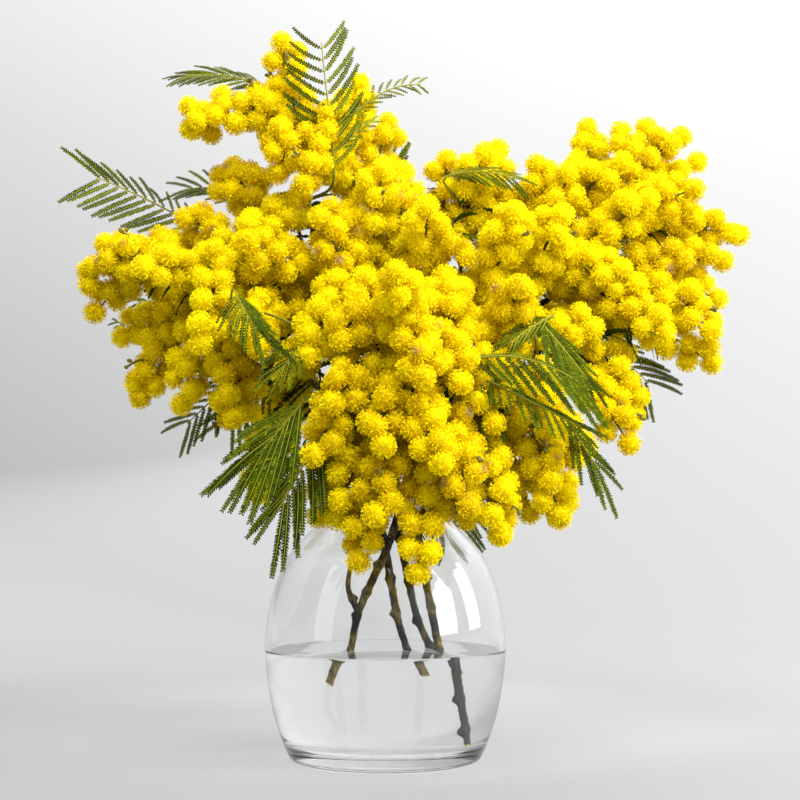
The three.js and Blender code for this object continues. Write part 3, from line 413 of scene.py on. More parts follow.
def bezier(*corners, count=25):
    t = np.linspace(0, 1, count)[:, None]
    points = [np.asarray(corner, float) for corner in corners]
    while len(points) > 1:
        points = [p + (q - p) * t for p, q in zip(points, points[1:])]
    return points[0]


def stepped(path, step, least=2):
    return spaced(path, max(least, round(length_of(path) / step)))


def smooth_curve(points, per_span=20, power=0.5, beyond=1):
    """A Catmull-Rom curve through the points, as a dense polyline: centripetal, or uniform where power is 0.
    beyond is how far its outer guides lie past the ends, as a share of the end spans."""
    p = np.asarray(points, float)
    p = np.vstack([p[0] + (p[0] - p[1]) * beyond, p, p[-1] + (p[-1] - p[-2]) * beyond])
    spans = []
    for a, b, c, d in zip(p, p[1:], p[2:], p[3:]):
        ta, tb, tc, td = np.cumsum([0, *(norm(v) ** power for v in (b - a, c - b, d - c))])
        t = np.linspace(tb, tc, per_span, endpoint=False)[:, None]

        def mix(low, high, p, q):
            return ((high - t) * p + (t - low) * q) / (high - low)

        ab, bc, cd = mix(ta, tb, a, b), mix(tb, tc, b, c), mix(tc, td, c, d)
        spans.append(mix(tb, tc, mix(ta, tc, ab, bc), mix(tb, td, bc, cd)))
    return np.vstack([*spans, p[-2:-1]])


def directions(path):
    return unit(np.gradient(path, axis=0))


def sides_along(path):
    """Unit direction, side and up at each point of a path, carried along without a twist."""
    along = directions(path)
    side = np.empty_like(along)
    last = np.array((0.31, 0.87, 0.38))
    for i, way in enumerate(along):
        last = last - way * last.dot(way)
        last = last / norm(last)
        side[i] = last
    return along, side, np.cross(along, side)


# ---- meshes


class Shape:
    """The vertices and faces of one piece, with the two values that its material reads at each vertex."""

    # on its map a face is a small ring round its values, clear of the map's edge
    map_edge, map_ring = 0.02, 0.004

    def __init__(self):
        self.points, self.faces, self.shade, self.depth = [], [], [], []
        self.count = 0

    def add(self, points, faces, shade=0.5, depth=1.0):
        """faces is one array of corners, or a list of them where the faces' numbers of corners differ."""
        for group in faces if isinstance(faces, list) else [faces]:
            self.faces.append(np.asarray(group) + self.count)
        self.points.append(points)
        self.shade.append(np.broadcast_to(shade, len(points)))
        self.depth.append(np.broadcast_to(depth, len(points)))
        self.count += len(points)

    def mesh(self, name, smooth):
        """The mesh in metres. Its map puts each face at its shade and depth, so a small picture holds all."""
        totals = np.concatenate([np.full(len(group), group.shape[1]) for group in self.faces])
        corners = np.concatenate([group.ravel() for group in self.faces])
        starts = np.r_[0, np.cumsum(totals)[:-1]]
        mesh = bpy.data.meshes.new(name)
        mesh.vertices.add(self.count)
        mesh.vertices.foreach_set("co", (np.vstack(self.points) * MM).astype(np.float32).ravel())
        mesh.loops.add(len(corners))
        mesh.loops.foreach_set("vertex_index", corners.astype(np.int32))
        mesh.polygons.add(len(totals))
        mesh.polygons.foreach_set("loop_start", starts.astype(np.int32))
        mesh.polygons.foreach_set("use_smooth", np.full(len(totals), smooth))
        turn = (np.arange(len(corners)) - np.repeat(starts, totals)) * 2 * math.pi / np.repeat(totals, totals)
        places, span = [], 1 - 2 * self.map_edge
        for key, parts, wave in (("shade", self.shade, np.cos), ("depth", self.depth, np.sin)):
            values = np.concatenate(parts)
            mesh.attributes.new(key, "FLOAT", "POINT").data.foreach_set("value", values.astype(np.float32))
            places.append(self.map_edge + span * values[corners] + self.map_ring * wave(turn))
        uvs = np.stack(places, axis=1).astype(np.float32)
        mesh.uv_layers.new(name="OFBake").data.foreach_set("uv", uvs.ravel())
        mesh.update()
        mesh.validate()
        return mesh


def add_piece(name, mesh, material, slot, *nodes):
    piece = add_object(name, mesh)
    mesh.materials.append(material)
    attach(piece, "root")
    if nodes:
        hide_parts(*nodes)


def circle(count):
    """The cosines and sines of even turns."""
    angle = np.arange(count) * 2 * math.pi / count
    return np.cos(angle), np.sin(angle)


def ring_faces(rings, sides):
    """The quads between rings of vertices that follow each other."""
    at = np.arange(rings - 1)[:, None] * sides
    k = np.arange(sides)[None]
    after = (k + 1) % sides
    return np.stack([at + k, at + after, at + sides + after, at + sides + k], axis=-1).reshape(-1, 4)


def fan(sides, start, point):
    """The triangles that join a ring of vertices to a point below it."""
    k = np.arange(sides)
    return np.stack([start + (k + 1) % sides, start + k, np.full(sides, point)], axis=1)


def closed_faces(rings, sides):
    """The faces of rings with a fan at both ends, round two points that come after the rings."""
    total = rings * sides
    ends = [fan(sides, 0, total), fan(sides, total - sides, total + 1)[:, (1, 0, 2)]]
    return [ring_faces(rings, sides), np.vstack(ends)]


def add_tube(shape, path, radius, sides, shade, depth=1.0, bumps=0):
    """A closed tube along a path. radius has one value for each point, and bumps one for each vertex."""
    _, side, up = sides_along(path)
    cosines, sines = circle(sides)
    out = side[:, None] * cosines[None, :, None] + up[:, None] * sines[None, :, None]
    reach = np.broadcast_to(radius, len(path))[:, None] + bumps
    rings = path[:, None] + out * np.broadcast_to(reach, (len(path), sides))[..., None]
    values = [np.broadcast_to(value, len(path)) for value in (shade, depth)]
    shape.add(
        np.vstack([rings.reshape(-1, 3), path[:1], path[-1:]]),
        closed_faces(len(path), sides),
        *(np.r_[np.repeat(value, sides), value[0], value[-1]] for value in values),
    )
    return rings


def revolved(profile, segments):
    """The rings of vertices that a profile of radius and height leaves round the axis."""
    x, y = (np.outer(profile[:, 0], wave) for wave in circle(segments))
    return np.stack([x, y, np.repeat(profile[:, 1:], segments, axis=1)], axis=-1).reshape(-1, 3)


# ---- materials


class Look:
    """A material with a Principled shader, and short calls that add nodes to it."""

    def __init__(self, name, sockets):
        self.material = bpy.data.materials.new(name)
        self.material.use_nodes = True
        self.tree = self.material.node_tree
        self.shader = self.tree.nodes["Principled BSDF"]
        self.set(self.shader, sockets)

    def set(self, node, sockets):
        """Each socket gets a value, or is joined to another node's output."""
        for key, value in sockets.items():
            if isinstance(value, bpy.types.NodeSocket):
                self.tree.links.new(value, node.inputs[key])
            else:
                node.inputs[key].default_value = value

    def add(self, kind, sockets, output=0, **settings):
        """Adds a node, and returns one of its outputs."""
        node = self.tree.nodes.new(f"ShaderNode{kind}")
        for key, value in settings.items():
            setattr(node, key, value)
        self.set(node, sockets)
        return node.outputs[output]

    def place(self):
        return self.add("TexCoord", {}, "Object")

    def vertex_value(self, key):
        return self.add("Attribute", {}, "Fac", attribute_name=key)

    def noise(self, place, scale, detail):
        return self.add("TexNoise", {"Vector": place, "Scale": scale, "Detail": detail, "Roughness": 0.55})

    def mix(self, share, a, b):
        return self.add("Mix", {"Factor": share, "A": a, "B": b}, "Result", data_type="RGBA")

    def ramp(self, value, stops):
        node = self.tree.nodes.new("ShaderNodeValToRGB")
        elements = node.color_ramp.elements
        while len(elements) < len(stops):
            elements.new(0.5)
        for element, (place, colour) in zip(elements, stops):
            element.position = place
            element.color = (*colour, 1)
        self.set(node, {"Fac": value})
        return node.outputs["Color"]

    def ranged(self, value, ends, **settings):
        keys = ("From Min", "From Max", "To Min", "To Max")
        return self.add("MapRange", {"Value": value, **dict(zip(keys, ends))}, **settings)

    def blend(self, share, kind, colour):
        """Mixes a share of a plain shader into the surface."""
        other = self.add(kind, {"Color": colour})
        both = self.add("MixShader", {"Fac": share, 1: self.shader.outputs["BSDF"], 2: other})
        self.set(self.tree.nodes["Material Output"], {"Surface": both})


def palette_material(name):
    tips, roots, thin = PALETTES[name]
    look = Look(name, {"Roughness": 0.7, "Specular IOR Level": 0.03})
    shade, depth = look.vertex_value("shade"), look.vertex_value("depth")
    colour = look.mix(depth, look.ramp(shade, roots), look.ramp(shade, tips))
    look.set(look.shader, {"Base Color": colour})
    look.blend(thin, "BsdfTranslucent", colour)
    return look.material


def clear_material(name, colour, ior):
    """Glass or water that lets the lamps through."""
    look = Look(name, {"Base Color": colour, "Transmission Weight": 1, "Roughness": 0, "IOR": ior})
    look.blend(look.add("LightPath", {}, "Is Shadow Ray"), "BsdfTransparent", colour)
    return look.material


def bark_material():
    """Grey-brown bark with yellow-green patches and dark cracks, and pale wood where it is cut."""
    look = Look("bark", {"Roughness": 0.7, "Specular IOR Level": 0.15})
    place = look.place()
    cracks = look.noise(look.add("Mapping", {"Vector": place, "Scale": (1, 1, 0.3)}), 900, 4)
    patches = look.ramp(look.noise(place, 85, 3), [(0.48, (0, 0, 0)), (0.58, (1, 1, 1))])
    bark, green = (look.ramp(cracks, BARK_COLOURS[key]) for key in ("bark", "green"))
    skin = look.mix(patches, bark, green)
    look.set(look.shader, {
        "Base Color": look.mix(look.vertex_value("depth"), BARK_COLOURS["wood"], skin),
        "Normal": look.add("Bump", {"Height": cracks, "Strength": 0.5, "Distance": 0.0004}),
    })
    return look.material


def painted_light_floor_material():
    """Its colour is painted light and shade: darker towards the front, paler towards the back, and paler
    round the
    vase, where the bunch keeps the light off it. It glows a little far out, to the right, to the back and
    high up:
    painted light too."""
    white = (1, 1, 1, 1)
    look = Look("studio_floor", {"Roughness": 0.8, "Specular IOR Level": 0.1, "Emission Color": white})
    place = look.place()
    # painted light and shade: darker towards the front, paler towards the back and in a pool round the vase
    back = look.ranged(look.add("SeparateXYZ", {0: place}, "Y"), PAINTED_LIGHT_BACK)
    gap = look.add("VectorMath", {0: place, 1: PAINTED_LIGHT_POOL_AT}, "Value", operation="DISTANCE")
    painted_light_pool = look.ranged(gap, PAINTED_LIGHT_POOL, interpolation_type="SMOOTHSTEP")
    # painted light: a glow that grows far out, to the right, to the back and high up
    lean = look.add("VectorMath", {0: place, 1: PAINTED_GLOW_LEAN}, "Value", operation="DOT_PRODUCT")
    reach = look.add("VectorMath", {0: place}, "Value", operation="LENGTH")
    painted_glow = look.add("Math", {0: reach, 1: PAINTED_GLOW_REACH, 2: lean}, operation="MULTIPLY_ADD")
    look.set(look.shader, {
        "Base Color": look.add("Math", {0: back, 1: painted_light_pool}),
        "Emission Strength": look.add("Math", {0: painted_glow, 1: PAINTED_GLOW}, use_clamp=True),
    })
    return look.material


BLOSSOM, LEAF = palette_material("blossom"), palette_material("leaf")

# ---- floor


def add_floor():
    """A pale studio floor that curves up out of sight on every side."""
    radius, bend, segments = FLOOR["radius"], FLOOR["turn"], FLOOR["segments"]
    turn = np.linspace(0, math.pi / 2, 24)
    curve = np.stack([radius - bend + bend * np.sin(turn), bend * (1 - np.cos(turn))], axis=1)
    profile = np.vstack([(FLOOR["flat"], 0), curve, (radius, bend + FLOOR["rise"])])
    faces = [ring_faces(len(profile), segments), fan(segments, 0, len(profile) * segments)]
    shape = Shape()
    # the faces look up and in
    shape.add(np.vstack([revolved(profile, segments), (0, 0, 0)]), [group[:, ::-1] for group in faces])
    floor = add_object("studio_floor", shape.mesh("studio_floor", True))
    floor.data.materials.append(painted_light_floor_material())


add_floor()

# ---- vase and water


def moved_in(profile, distance):
    along = unit(np.gradient(profile, axis=0))
    return profile + distance * np.stack([-along[:, 1], along[:, 0]], axis=1)


def turned(name, profile):
    """A closed body turned round the axis from a profile that starts and ends on it."""
    poles = [(0, 0, height) for height in profile[[0, -1], 1]]
    shape = Shape()
    shape.add(
        np.vstack([revolved(profile[1:-1], VASE["segments"]), poles]),
        closed_faces(len(profile) - 2, VASE["segments"]),
    )
    return shape.mesh(name, True)


def add_vase():
    """Returns the profiles of the inside's wall and of the round corner below it."""
    outside = smooth_curve(VASE["outside"], per_span=8, power=0, beyond=0)
    wall, floor = VASE["wall"], VASE["floor"]
    reach, rise, end = VASE["corner"]
    inside = moved_in(outside, wall)
    inside = inside[inside[:, 1] > floor + rise]
    turn = np.linspace(0, end, 7)
    corner = np.stack([inside[0, 0] - reach * (1 - np.sin(turn)), floor + rise * (1 - np.cos(turn))], axis=1)
    turn = np.radians(np.linspace(20, 160, 6))
    lip = outside[-1] - (wall / 2, 0) + wall / 2 * np.stack([np.cos(turn), np.sin(turn)], axis=1)
    bottom = [(VASE["flat"], floor), (0, floor)]
    profile = np.vstack([VASE["underside"], outside, lip, inside[::-1], corner[::-1], bottom])
    glass = clear_material("glass", GLASS, GLASS_IOR)
    add_piece("glass_vase", turned("glass_vase", profile), glass, "glass", "vase")
    return inside, corner


def add_water(inside, corner):
    """Water that meets the glass, with its edge drawn up the wall."""
    reach, level = WATER["overlap"], WATER["level"]
    wet = inside[inside[:, 1] < level + WATER["meniscus"]] + (reach, 0)
    share = np.linspace(0, 1.2, 9)
    edge_r = wet[-1, 0] - WATER["meniscus_width"] * share
    edge = np.stack([edge_r, level + WATER["meniscus"] * np.exp(-4 * share)], axis=1)
    below = corner + (reach, -reach)
    bottom = [(0, below[0, 1]), (VASE["flat"], below[0, 1])]
    profile = np.vstack([bottom, below, wet, edge, [(WATER["flat"], level), (0, level)]])
    water = clear_material("water", WATER_CLEAR, WATER_IOR)
    add_piece("vase_water", turned("vase_water", profile), water, "water", "water")


add_water(*add_vase())

# ---- branches


def branch_runs(name):
    """The path and the radius along it of a branch's main stem and of each arm."""
    main, *arms = BRANCHES[name]
    stem = stepped(smooth_curve(main), BARK["step"])
    share = np.linspace(0, 1, len(stem))
    thick = BARK["root"] + (BARK["tip"] - BARK["root"]) * share ** BARK["taper"]
    runs = [(stem, thick)]
    for arm in arms:
        path = stepped(smooth_curve(arm), BARK["step"])
        root = thick[norm(stem - arm[0], axis=1).argmin()] * BARK["arm_share"]
        runs.append((path, np.linspace(root, BARK["side_tip"], len(path))))
    return runs


def stem_bumps(along, thick, rng):
    """How far each vertex of the bark stands out: it is rough, and swells where leaves stood."""
    sides = BARK["sides"]
    angle = np.arange(sides) * 2 * math.pi / sides
    bumps = rng.normal(0, BARK["rough"], (len(along), sides)) * thick[:, None]
    place = rng.uniform(*STEM_NODES["first"])
    while place < along[-1] - STEM_NODES["last"]:
        at = rng.uniform(0, 2 * math.pi)
        swell = np.exp(-((along - place) / STEM_NODES["length"]) ** 2)
        facing = np.exp(STEM_NODES["narrow"] * (np.cos(angle - at) - 1))
        size = STEM_NODES["height"] * rng.uniform(0.5, 1.2) * np.interp(place, along, thick) / BARK["root"]
        bumps += swell[:, None] * (STEM_NODES["ring"] + facing[None]) * size
        place += STEM_NODES["spacing"] * rng.uniform(0.7, 1.2)
    return bumps


def add_stem(shape, path, thick, cut, rng):
    """One length of bark. A cut one is thinner at its foot, which ends in a slanting cut."""
    sides = BARK["sides"]
    along = np.linspace(0, length_of(path), len(path))
    bumps = stem_bumps(along, thick, rng)
    if cut:
        length, share = BARK["foot"]
        thick = thick * np.interp(along, (0, length), (share, 1))
    rings = add_tube(shape, path, thick * BARK["between_nodes"], sides, 0.5, bumps=bumps)
    if cut:
        # the first rings slant, and the cut face shows the wood
        way, slope = directions(path)[0], rng.uniform(*BARK["slant"])
        points = shape.points[-1]
        tilt = unit(np.cross(way, (0.2, 1, 0.1)))
        for ring in range(3):
            rest = (rings[ring] - path[ring]) @ tilt
            slant = (rest + thick[0]) * slope * (1 - ring / 3)
            points[ring * sides:(ring + 1) * sides] += way * slant[:, None]
        points[-2] = rings[0].mean(axis=0) + way * thick[0] * slope
        depth = shape.depth[-1].copy()
        depth[-2] = 0
        depth[:sides] = 0.25
        shape.depth[-1] = depth


RUNS = {name: branch_runs(name) for name in BRANCHES}
BARK_POINTS = np.vstack([path for runs in RUNS.values() for path, _ in runs])


def add_branches():
    bark = bark_material()
    for number, (name, runs) in enumerate(RUNS.items()):
        rng = np.random.default_rng(SEED + number)
        shape = Shape()
        for i, (path, thick) in enumerate(runs):
            add_stem(shape, path, thick, i == 0, rng)
        node = f"branch_{name}"
        add_piece(f"{node}_bark", shape.mesh(node, True), bark, "bark", node)


add_branches()

# ---- stalks


def root_of(node, corners):
    """Where a node's stalk leaves the bark: the branch's nearest point, and the middle of the stalk's end."""
    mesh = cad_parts[node].data
    points = np.empty(len(mesh.vertices) * 3)
    mesh.vertices.foreach_get("co", points)
    points = points.reshape(-1, 3) / MM
    # every other point of the branches is close enough to find the stalk's lowest corner
    gaps = norm(points[:, None] - BARK_POINTS[None, ::2], axis=2)
    nearest = points[gaps.min(axis=1).argmin()]
    ring = points[np.argsort(norm(points - nearest, axis=1))[:corners]]
    root = ring.mean(axis=0)
    return BARK_POINTS[norm(BARK_POINTS - root, axis=1).argmin()], root


def stalk_from_bark(node, corners, end, heading):
    bark, root = root_of(node, corners)
    bend = min(STALK["out"], norm(end - bark) / 3)
    return np.vstack([bark, bezier(root, root + unit(root - bark) * bend, end - heading * bend, end)])


def stalk_from_fork(first, end, heading):
    """A side stalk that leaves the middle of a spray's first stalk."""
    steps = max(2, round(length_of(first) / STALK["step"]))
    bones = spaced(first[1:], steps + 1)
    fork = bones[len(bones) // 2]
    way = unit(unit(end - fork) + directions(first)[len(first) // 2])
    bend = norm(end - fork) / 3
    return bezier(fork, fork + way * bend, end - heading * bend, end)

# ---- flower heads


def even_directions(count, rng, jitter):
    k = np.arange(count) + 0.5
    z = 1 - 2 * k / count
    flat = np.sqrt(1 - z * z)
    turn = k * GOLDEN_ANGLE
    points = np.stack([flat * np.cos(turn), flat * np.sin(turn), z], axis=1)
    return unit(points + rng.normal(0, jitter, points.shape))


def turned_to(ways, rng):
    """Rotations that take +Z to each way, with a random spin."""
    side = unit(np.cross(ways, rng.normal(size=ways.shape)))
    return np.stack([side, np.cross(ways, side), ways], axis=-1)


def head_core(rng):
    """A rough ball, darker than the stamens' tips: painted shade under them. Returns points, faces and
    depths.
    """
    ball = bmesh.new()
    bmesh.ops.create_icosphere(ball, subdivisions=2, radius=1)
    ways = np.array([v.co[:] for v in ball.verts])
    faces = np.array([[v.index for v in f.verts] for f in ball.faces])
    ball.free()
    points = ways * (HEAD["core"] * (1 + rng.normal(0, 0.03, (len(ways), 1))))
    return points, faces, rng.uniform(0.5, 0.85, len(ways))


def head_shade_clefts(rng):
    """Stars of dark clefts, thin triangles: painted shade in the gaps between the stamens' bundles. Returns
    points, depths and the ways to the stars' middles.
    """
    stars, clefts = size = HEAD["stars"], HEAD["clefts"]
    turn = (np.arange(clefts) + rng.uniform(-0.35, 0.35, size)) * 2 * math.pi / clefts
    inner, outer = rng.uniform(*HEAD["cleft_inner"], size), rng.uniform(*HEAD["cleft_outer"], size)
    half = HEAD["cleft_half"]
    corners = []
    for lean, spread in ((inner, 0), (outer, half), (outer, -half)):
        flat, around = np.sin(lean), turn + spread / np.sin(lean)
        corners.append(np.stack([flat * np.cos(around), flat * np.sin(around), np.cos(lean)], axis=-1))
    ways = even_directions(stars, rng, 0.12)
    points = np.einsum("sij,scvj->scvi", turned_to(ways, rng), np.stack(corners, axis=2))
    return points.reshape(-1, 3) * HEAD["cleft"], np.tile([0, 0.25, 0.25], stars * clefts), ways


def head_tips(star_ways, rng):
    """The stamens' tips all over the head, small triangles that face outwards but for a random tilt, darker
    over the middle of a star, as painted shade. Returns points and depths."""
    count = HEAD["tips"]
    out = even_directions(count, rng, 0.06)
    reach = rng.uniform(*HEAD["tip_reach"], count)[:, None]
    face = unit(out + rng.normal(0, 0.22, out.shape))
    side = unit(np.cross(face, rng.normal(size=out.shape)))
    up = np.cross(face, side)
    size = (HEAD["tip"] / HEAD["radius"] * rng.uniform(0.75, 1.25, count))[:, None]
    corners = [out * reach + size * (side * math.cos(a) + up * math.sin(a)) for a in (0, 2.1, 4.2)]
    in_star_shade = (out @ star_ways.T).max(axis=1) > math.cos(HEAD["star"])
    depth = np.where(in_star_shade, 0.3, rng.uniform(0.75, 1, count))
    return np.stack(corners, axis=1).reshape(-1, 3), np.repeat(depth, 3)


def head_hairs(rng):
    """A fringe of the stamens' threads, darker at their roots: painted shade. Returns points and depths."""
    count = HEAD["hairs"]
    out = even_directions(count, rng, 0.08)
    side = unit(np.cross(out, rng.normal(size=out.shape))) * (HEAD["hair"] / 2 / HEAD["radius"])
    ends = unit(out + rng.normal(0, 0.1, out.shape)) * rng.uniform(*HEAD["hair_reach"], (count, 1))
    roots = out * (HEAD["core"] - HEAD["hair_sunk"])
    return np.stack([roots, ends - side, ends + side], axis=1).reshape(-1, 3), np.tile([0.5, 1, 1], count)


def head_template(rng, spent):
    """One flower head of radius 1, brown round +Z if it is spent. Returns points, triangles, and for each
    point how far its shade is from the head's own, its depth, and how brown it is."""
    core, core_faces, core_depth = head_core(rng)
    clefts, cleft_depth, star_ways = head_shade_clefts(rng)
    tips, tip_depth = head_tips(star_ways, rng)
    hairs, hair_depth = head_hairs(rng)
    points = np.vstack([core, clefts, tips, hairs])
    loose = np.arange(len(core), len(points)).reshape(-1, 3)
    # the core's shades are a little lower than the tips', so it is darker and more orange: painted shade
    shift = np.r_[
        rng.normal(-0.05, 0.05, len(core)),
        np.zeros(len(clefts)),
        np.repeat(rng.normal(0.03, 0.08, HEAD["tips"] + HEAD["hairs"]), 3),
    ]
    brown = np.clip((unit(points)[:, 2] - 0.55) / 0.4, 0, 1) * spent * 0.8
    # the clefts are pulled towards brown as part of their painted shade
    brown[len(core):len(core) + len(clefts)] = HEAD["cleft_shade_brown"]
    depth = np.r_[core_depth, cleft_depth, tip_depth, hair_depth]
    return points, np.vstack([core_faces, loose]), shift, depth, brown


def add_heads(shape, centres, radii, ways, shades, spent, templates, rng):
    """spent says for each head whether it takes one of the second half of the templates."""
    turns = turned_to(ways, rng)
    half = len(templates) // 2
    kinds = rng.integers(half, size=len(centres)) + half * spent
    for kind, (points, faces, shift, depth, brown) in enumerate(templates):
        chosen = np.flatnonzero(kinds == kind)
        if not len(chosen):
            continue
        placed = np.einsum("hij,vj->hvi", turns[chosen], points) * radii[chosen, None, None]
        placed += centres[chosen, None]
        corners = faces[None] + np.arange(len(chosen))[:, None, None] * len(points)
        shade = np.clip(shades[chosen, None] + shift[None], *BLOSSOM_SHADES)
        shade = shade + (CALYX_SHADE - shade) * brown[None]
        shape.add(placed.reshape(-1, 3), corners.reshape(-1, 3), shade.ravel(), np.tile(depth, len(chosen)))


# ---- sprays


def raceme_axis(start, tip):
    start, tip = np.array(start, float), np.array(tip, float)
    span = tip - start
    return bezier(start, start + span / 2 + (0, 0, norm(span) * RACEME["arch"]), tip)


def stalk_end(stalk):
    """The last stretch of a stalk, which bears flower heads too."""
    length = length_of(stalk)
    steps = 24
    whole = spaced(stalk, steps + 1)
    return whole[round(steps * (1 - min(RACEME["stalk"], 0.6 * length) / length)):]


def place_heads(axis, taken, rng):
    """Centres, sizes and ways out of a raceme's heads, and their shares of its length: one at its tip, and
    the others where a random try finds room. Towards the tip they are smaller and closer to the axis."""
    length = length_of(axis)
    along, side, up = sides_along(axis)
    tip_r = HEAD["radius"] * 0.92
    placed = [(axis[-1] - along[-1] * tip_r, tip_r, along[-1], 1.0)]
    tries = RACEME["tries"]
    shares = rng.random(tries) ** 0.9
    for share, turn, out in zip(shares, rng.random(tries) * 2 * math.pi, rng.random(tries)):
        radius = HEAD["radius"] * (1 - 0.12 * share) * rng.uniform(*HEAD["sizes"])
        girth = (RACEME["radius"] - radius) * (1 - 0.3 * share**3) * (1 - 0.35 * out**2) + 0.6
        at = share * (length - radius) / length * (len(axis) - 1)
        i, part = int(at), at % 1
        stem = axis[i] + (axis[min(i + 1, len(axis) - 1)] - axis[i]) * part
        way = side[i] * math.cos(turn) + up[i] * math.sin(turn)
        centre = stem + way * girth
        near = taken + [p for p, *_ in placed]
        if norm(np.array(near) - centre, axis=1).min() > HEAD["apart"]:
            placed.append((centre, radius, unit(way + 0.35 * along[i]), share))
    return placed


def add_petiole(shape, axis, centre, share, rng):
    """A short stalk from the raceme's axis to a flower head."""
    base = axis[int(max(0, share - 0.12) * (len(axis) - 1))]
    middle = (base + centre) / 2 + rng.normal(0, 0.5, 3)
    path = np.stack([base, middle, centre])
    add_tube(shape, path, np.array((1.3, 1, 1)) * PETIOLE_R, 3, rng.uniform(0.12, 0.2))


def add_raceme(shape, axis, taken, spent_share, templates, rng):
    """Flower heads along an axis, clear of those that are taken. Returns their centres."""
    placed = place_heads(axis, taken, rng)
    for centre, _, _, share in placed:
        add_petiole(shape, axis, centre, share, rng)
    centres, radii, ways = (np.array(column) for column in list(zip(*placed))[:3])
    shades = rng.uniform(*RACEME["shades"]) + rng.normal(0, 0.06, len(placed))
    spent = rng.random(len(placed)) < spent_share
    ways = unit(ways + rng.normal(0, 0.3, ways.shape))
    add_heads(shape, centres, radii, ways, shades, spent, templates, rng)
    return list(centres)


def add_twig(shape, line, rng):
    path = stepped(line, TWIG["step"], 6)
    shade = np.linspace(*TWIG_SHADES, len(path)) + rng.normal(0, 0.015, len(path))
    thick = np.linspace(TWIG["root"], TWIG["tip"], len(path)) * rng.uniform(0.92, 1.08, len(path))
    add_tube(shape, path, thick, TWIG["sides"], np.clip(shade, 0, 0.2))


def add_twiglet(shape, axis, rng):
    """A bare side twig that ends in buds among the flower heads, on the side that shows."""
    along, side, up = sides_along(axis)
    i = rng.integers(len(axis) // 8, len(axis) * 2 // 3)
    turn = rng.uniform(0, 2 * math.pi)
    out = side[i] * math.cos(turn) + up[i] * math.sin(turn)
    out = out if out @ (axis[i] * (1, 1, 0)) > 0 else -out
    root = axis[i] + out * (RACEME["radius"] - 5)
    end = root + (out * 0.5 + along[i]) * rng.uniform(*TWIGLET["length"])
    path = bezier(axis[i], root, end, count=6)
    add_tube(shape, path, np.linspace(TWIGLET["root"], TWIGLET["tip"], len(path)), 5, 0.14)
    size = TWIGLET["bud"]
    for k in range(TWIGLET["buds"]):
        bud = end - along[i] * k * 1.3 + rng.normal(0, 0.6, 3)
        ends = np.stack([bud - out * size, bud, bud + out * size])
        add_tube(shape, ends, np.array((0.4, 1, 0.4)) * size, 6, rng.uniform(0.16, 0.22))


def add_sprays():
    rng = np.random.default_rng(SEED)
    templates = [head_template(rng, spent) for spent in (False, True) for _ in range(HEAD["kinds"])]
    taken = []
    for name, racemes in SPRAYS.items():
        node = f"spray_{name}"
        shape = Shape()
        first = None
        for start, tip in racemes + SIDE_RACEMES.get(name, []):
            axis = raceme_axis(start, tip)
            heading = directions(axis)[0]
            if first is None:
                stalk = first = stalk_from_bark(node, 3, axis[0], heading)
            else:
                stalk = stalk_from_fork(first, axis[0], heading)
            add_twig(shape, np.vstack([stalk[:-1], axis[:-3]]), rng)
            bearing = np.vstack([stalk_end(stalk), axis[1:]])
            spent_share = SPENT.get(name, SPENT_ELSEWHERE)
            taken += add_raceme(shape, bearing, taken, spent_share, templates, rng)
            if rng.random() < TWIGLET["share"]:
                add_twiglet(shape, axis, rng)
        add_piece(f"blossom_{name}", shape.mesh(node, False), BLOSSOM, "blossom", node)


add_sprays()

# ---- fronds


def add_leaflets(shape, roots, ways, normals, lengths, shade, rng):
    """Flat kites, one for each root."""
    count = len(roots)
    across = np.cross(ways, normals) * (LEAFLET["width"] / 2 * rng.uniform(0.85, 1.15, (count, 1)))
    middle = roots + ways * (lengths * 0.5)[:, None]
    corners = np.stack([roots, middle + across, roots + ways * lengths[:, None], middle - across], axis=1)
    shades = np.clip(shade + rng.normal(0, 0.12, count), *LEAFLET_SHADES)
    faces = np.arange(count * 4).reshape(-1, 4)
    shape.add(corners.reshape(-1, 3), faces, np.repeat(shades, 4), np.tile([0.2, 1, 1, 1], count))


def strip_faces(count, start=0):
    """The quads between two rows of points, the second row straight after the first."""
    at = np.arange(count - 1) + start
    return np.stack([at, at + 1, at + 1 + count, at + count], axis=1)


def add_pinna(shape, line, normal, shade, rng):
    """A rib with a narrow blade, and leaflets that stand out past it on both sides."""
    length = length_of(line)
    add_tube(shape, line, np.linspace(PINNA["root"], PINNA["tip"], len(line)), 3, rng.uniform(0.08, 0.2))
    roots = spaced(line, max(4, round(length / LEAFLET["spacing"])) + 2)
    ways = directions(roots)[1:]
    roots = roots[1:]
    outs = unit(np.cross(ways, normal))
    lean = math.radians(LEAFLET["lean"])
    longest = length * LEAFLET["share"] + LEAFLET["least"]
    sizes = longest * np.sin(math.pi * np.linspace(0.2, 0.85, len(roots))) ** 0.7
    for hand in (1, -1):
        fanned = unit(ways * math.cos(lean) + outs * hand * math.sin(lean) + rng.normal(0, 0.05, ways.shape))
        up = np.cross(outs, ways) + outs * hand * -0.25 + rng.normal(0, 0.1, ways.shape)
        up = unit(up - fanned * (up * fanned).sum(axis=1, keepdims=True))
        add_leaflets(shape, roots, fanned, up, sizes * rng.uniform(0.9, 1.12, len(roots)), shade, rng)
    wide = (sizes * math.sin(lean) * LEAFLET["blade"])[:, None] * outs
    total = len(roots)
    blade = np.concatenate([roots - wide, roots, roots + wide])
    shape.add(blade, np.vstack([strip_faces(total), strip_faces(total, total)]), shade - 0.1, 0.4)


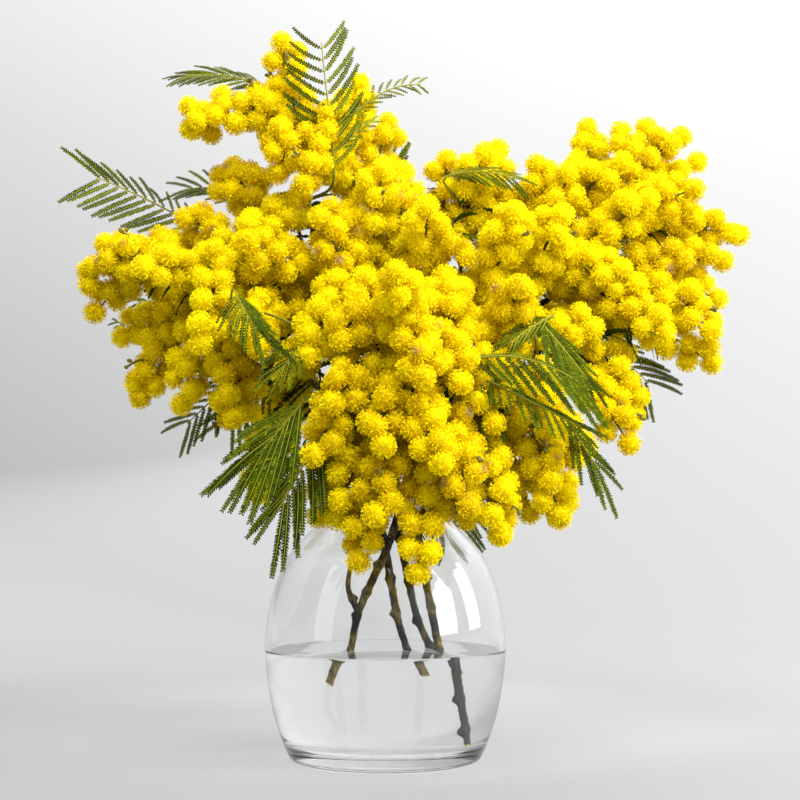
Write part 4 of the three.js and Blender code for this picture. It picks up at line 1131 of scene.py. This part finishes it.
def add_leaf(shape, corners, face, plus, plus_sweep, minus, minus_sweep, hang, curl, spacing, rng):
    """The pinnae on both sides of a leaf's rib. Returns the rib's path."""
    rib = bezier(*corners)
    pairs = max(3, round(length_of(rib) / spacing))
    stations = spaced(rib, 2 * pairs + 1)
    t = np.linspace(0, 1, PINNA["points"])[:, None]
    for i, (at, along) in enumerate(zip(stations[1::2], directions(stations)[1::2])):
        share = (i + 0.5) / pairs
        across = unit(np.cross(along, unit(np.array(face, float))))
        normal = np.cross(across, along)
        for hand, lengths, sweeps in ((1, plus, plus_sweep), (-1, minus, minus_sweep)):
            length = np.interp(share, (0, 0.5, 1), lengths) * rng.uniform(0.9, 1.08)
            lean = math.radians(np.interp(share, (0, 1), sweeps) + rng.normal(0, 3))
            heading = along * math.cos(lean) + across * hand * math.sin(lean)
            bend = along * (curl + rng.normal(0, 0.05)) + across * rng.normal(0, 0.04) - (0, 0, hang)
            line = at + heading * t * length + (bend * length - normal * PINNA["droop"]) * t**2
            add_pinna(shape, line, normal, rng.uniform(*PINNA["shades"]), rng)
    return rib


def add_fronds():
    for number, name in enumerate(dict.fromkeys(row[0] for row in FRONDS)):
        rng = np.random.default_rng(SEED + 100 + number)
        node = f"frond_{name}"
        shape = Shape()
        stalk = None
        for _, corners, *rest in (row for row in FRONDS if row[0] == name):
            rib = add_leaf(shape, corners, *rest, rng)
            heading = directions(rib)[0]
            if stalk is None:
                stalk = stalk_from_bark(node, 2, rib[0], heading)
                whole = np.vstack([stalk[:-1], rib])
            else:
                # a second leaf's stalk forks from the middle of the first one's
                fork = stalk[len(stalk) // 2]
                bend = heading * norm(rib[0] - fork) / 3
                whole = np.vstack([bezier(fork, rib[0] - bend, rib[0], count=12)[:-1], rib])
            path = stepped(whole, RIB["step"], 6)
            thick = np.linspace(RIB["root"], RIB["tip"], len(path))
            add_tube(shape, path, thick, RIB["sides"], np.linspace(*RIB_SHADES, len(path)))
        add_piece(f"leaf_{name}", shape.mesh(node, False), LEAF, "leaf", node)


add_fronds()


def add_inner_leaf(shape, at, along, edge, rng):
    """A blade that stands out from an arm and hangs a little. edge is its half width along it."""
    out = unit(np.cross(along, rng.normal(size=3)))
    length = rng.uniform(*INNER["length"])
    middle = at + (out + along * 0.4) * length / 2
    tip = at + (out + along * 0.3 - (0, 0, 0.3)) * length
    line = bezier(at, middle, tip, count=len(edge))
    wide = np.outer(edge, unit(np.cross(out, rng.normal(size=3))))
    shape.add(np.vstack([line - wide, line + wide]), strip_faces(len(edge)), rng.uniform(*INNER_PAINTED_SHADE_TONES), 0.8)


def add_inner_leaves():
    """Leaves with notched edges along the arms, deep in the bunch, their dark colour painted shade."""
    count = INNER["points"]
    edge = np.sin(np.linspace(0.3, 2.9, count)) * np.resize((1, INNER["notch"]), count) * INNER["width"] / 2
    for number, (name, runs) in enumerate(RUNS.items()):
        rng = np.random.default_rng(SEED + 200 + number)
        shape = Shape()
        for path, _ in runs:
            points = stepped(path, INNER["spacing"])
            for at, along in zip(points, directions(points)):
                if INNER["from"] < at[2] < INNER["to"]:
                    add_inner_leaf(shape, at, along, edge, rng)
        piece = f"branch_{name}_leaves"
        add_piece(piece, shape.mesh(piece, False), LEAF, "leaf")


add_inner_leaves()
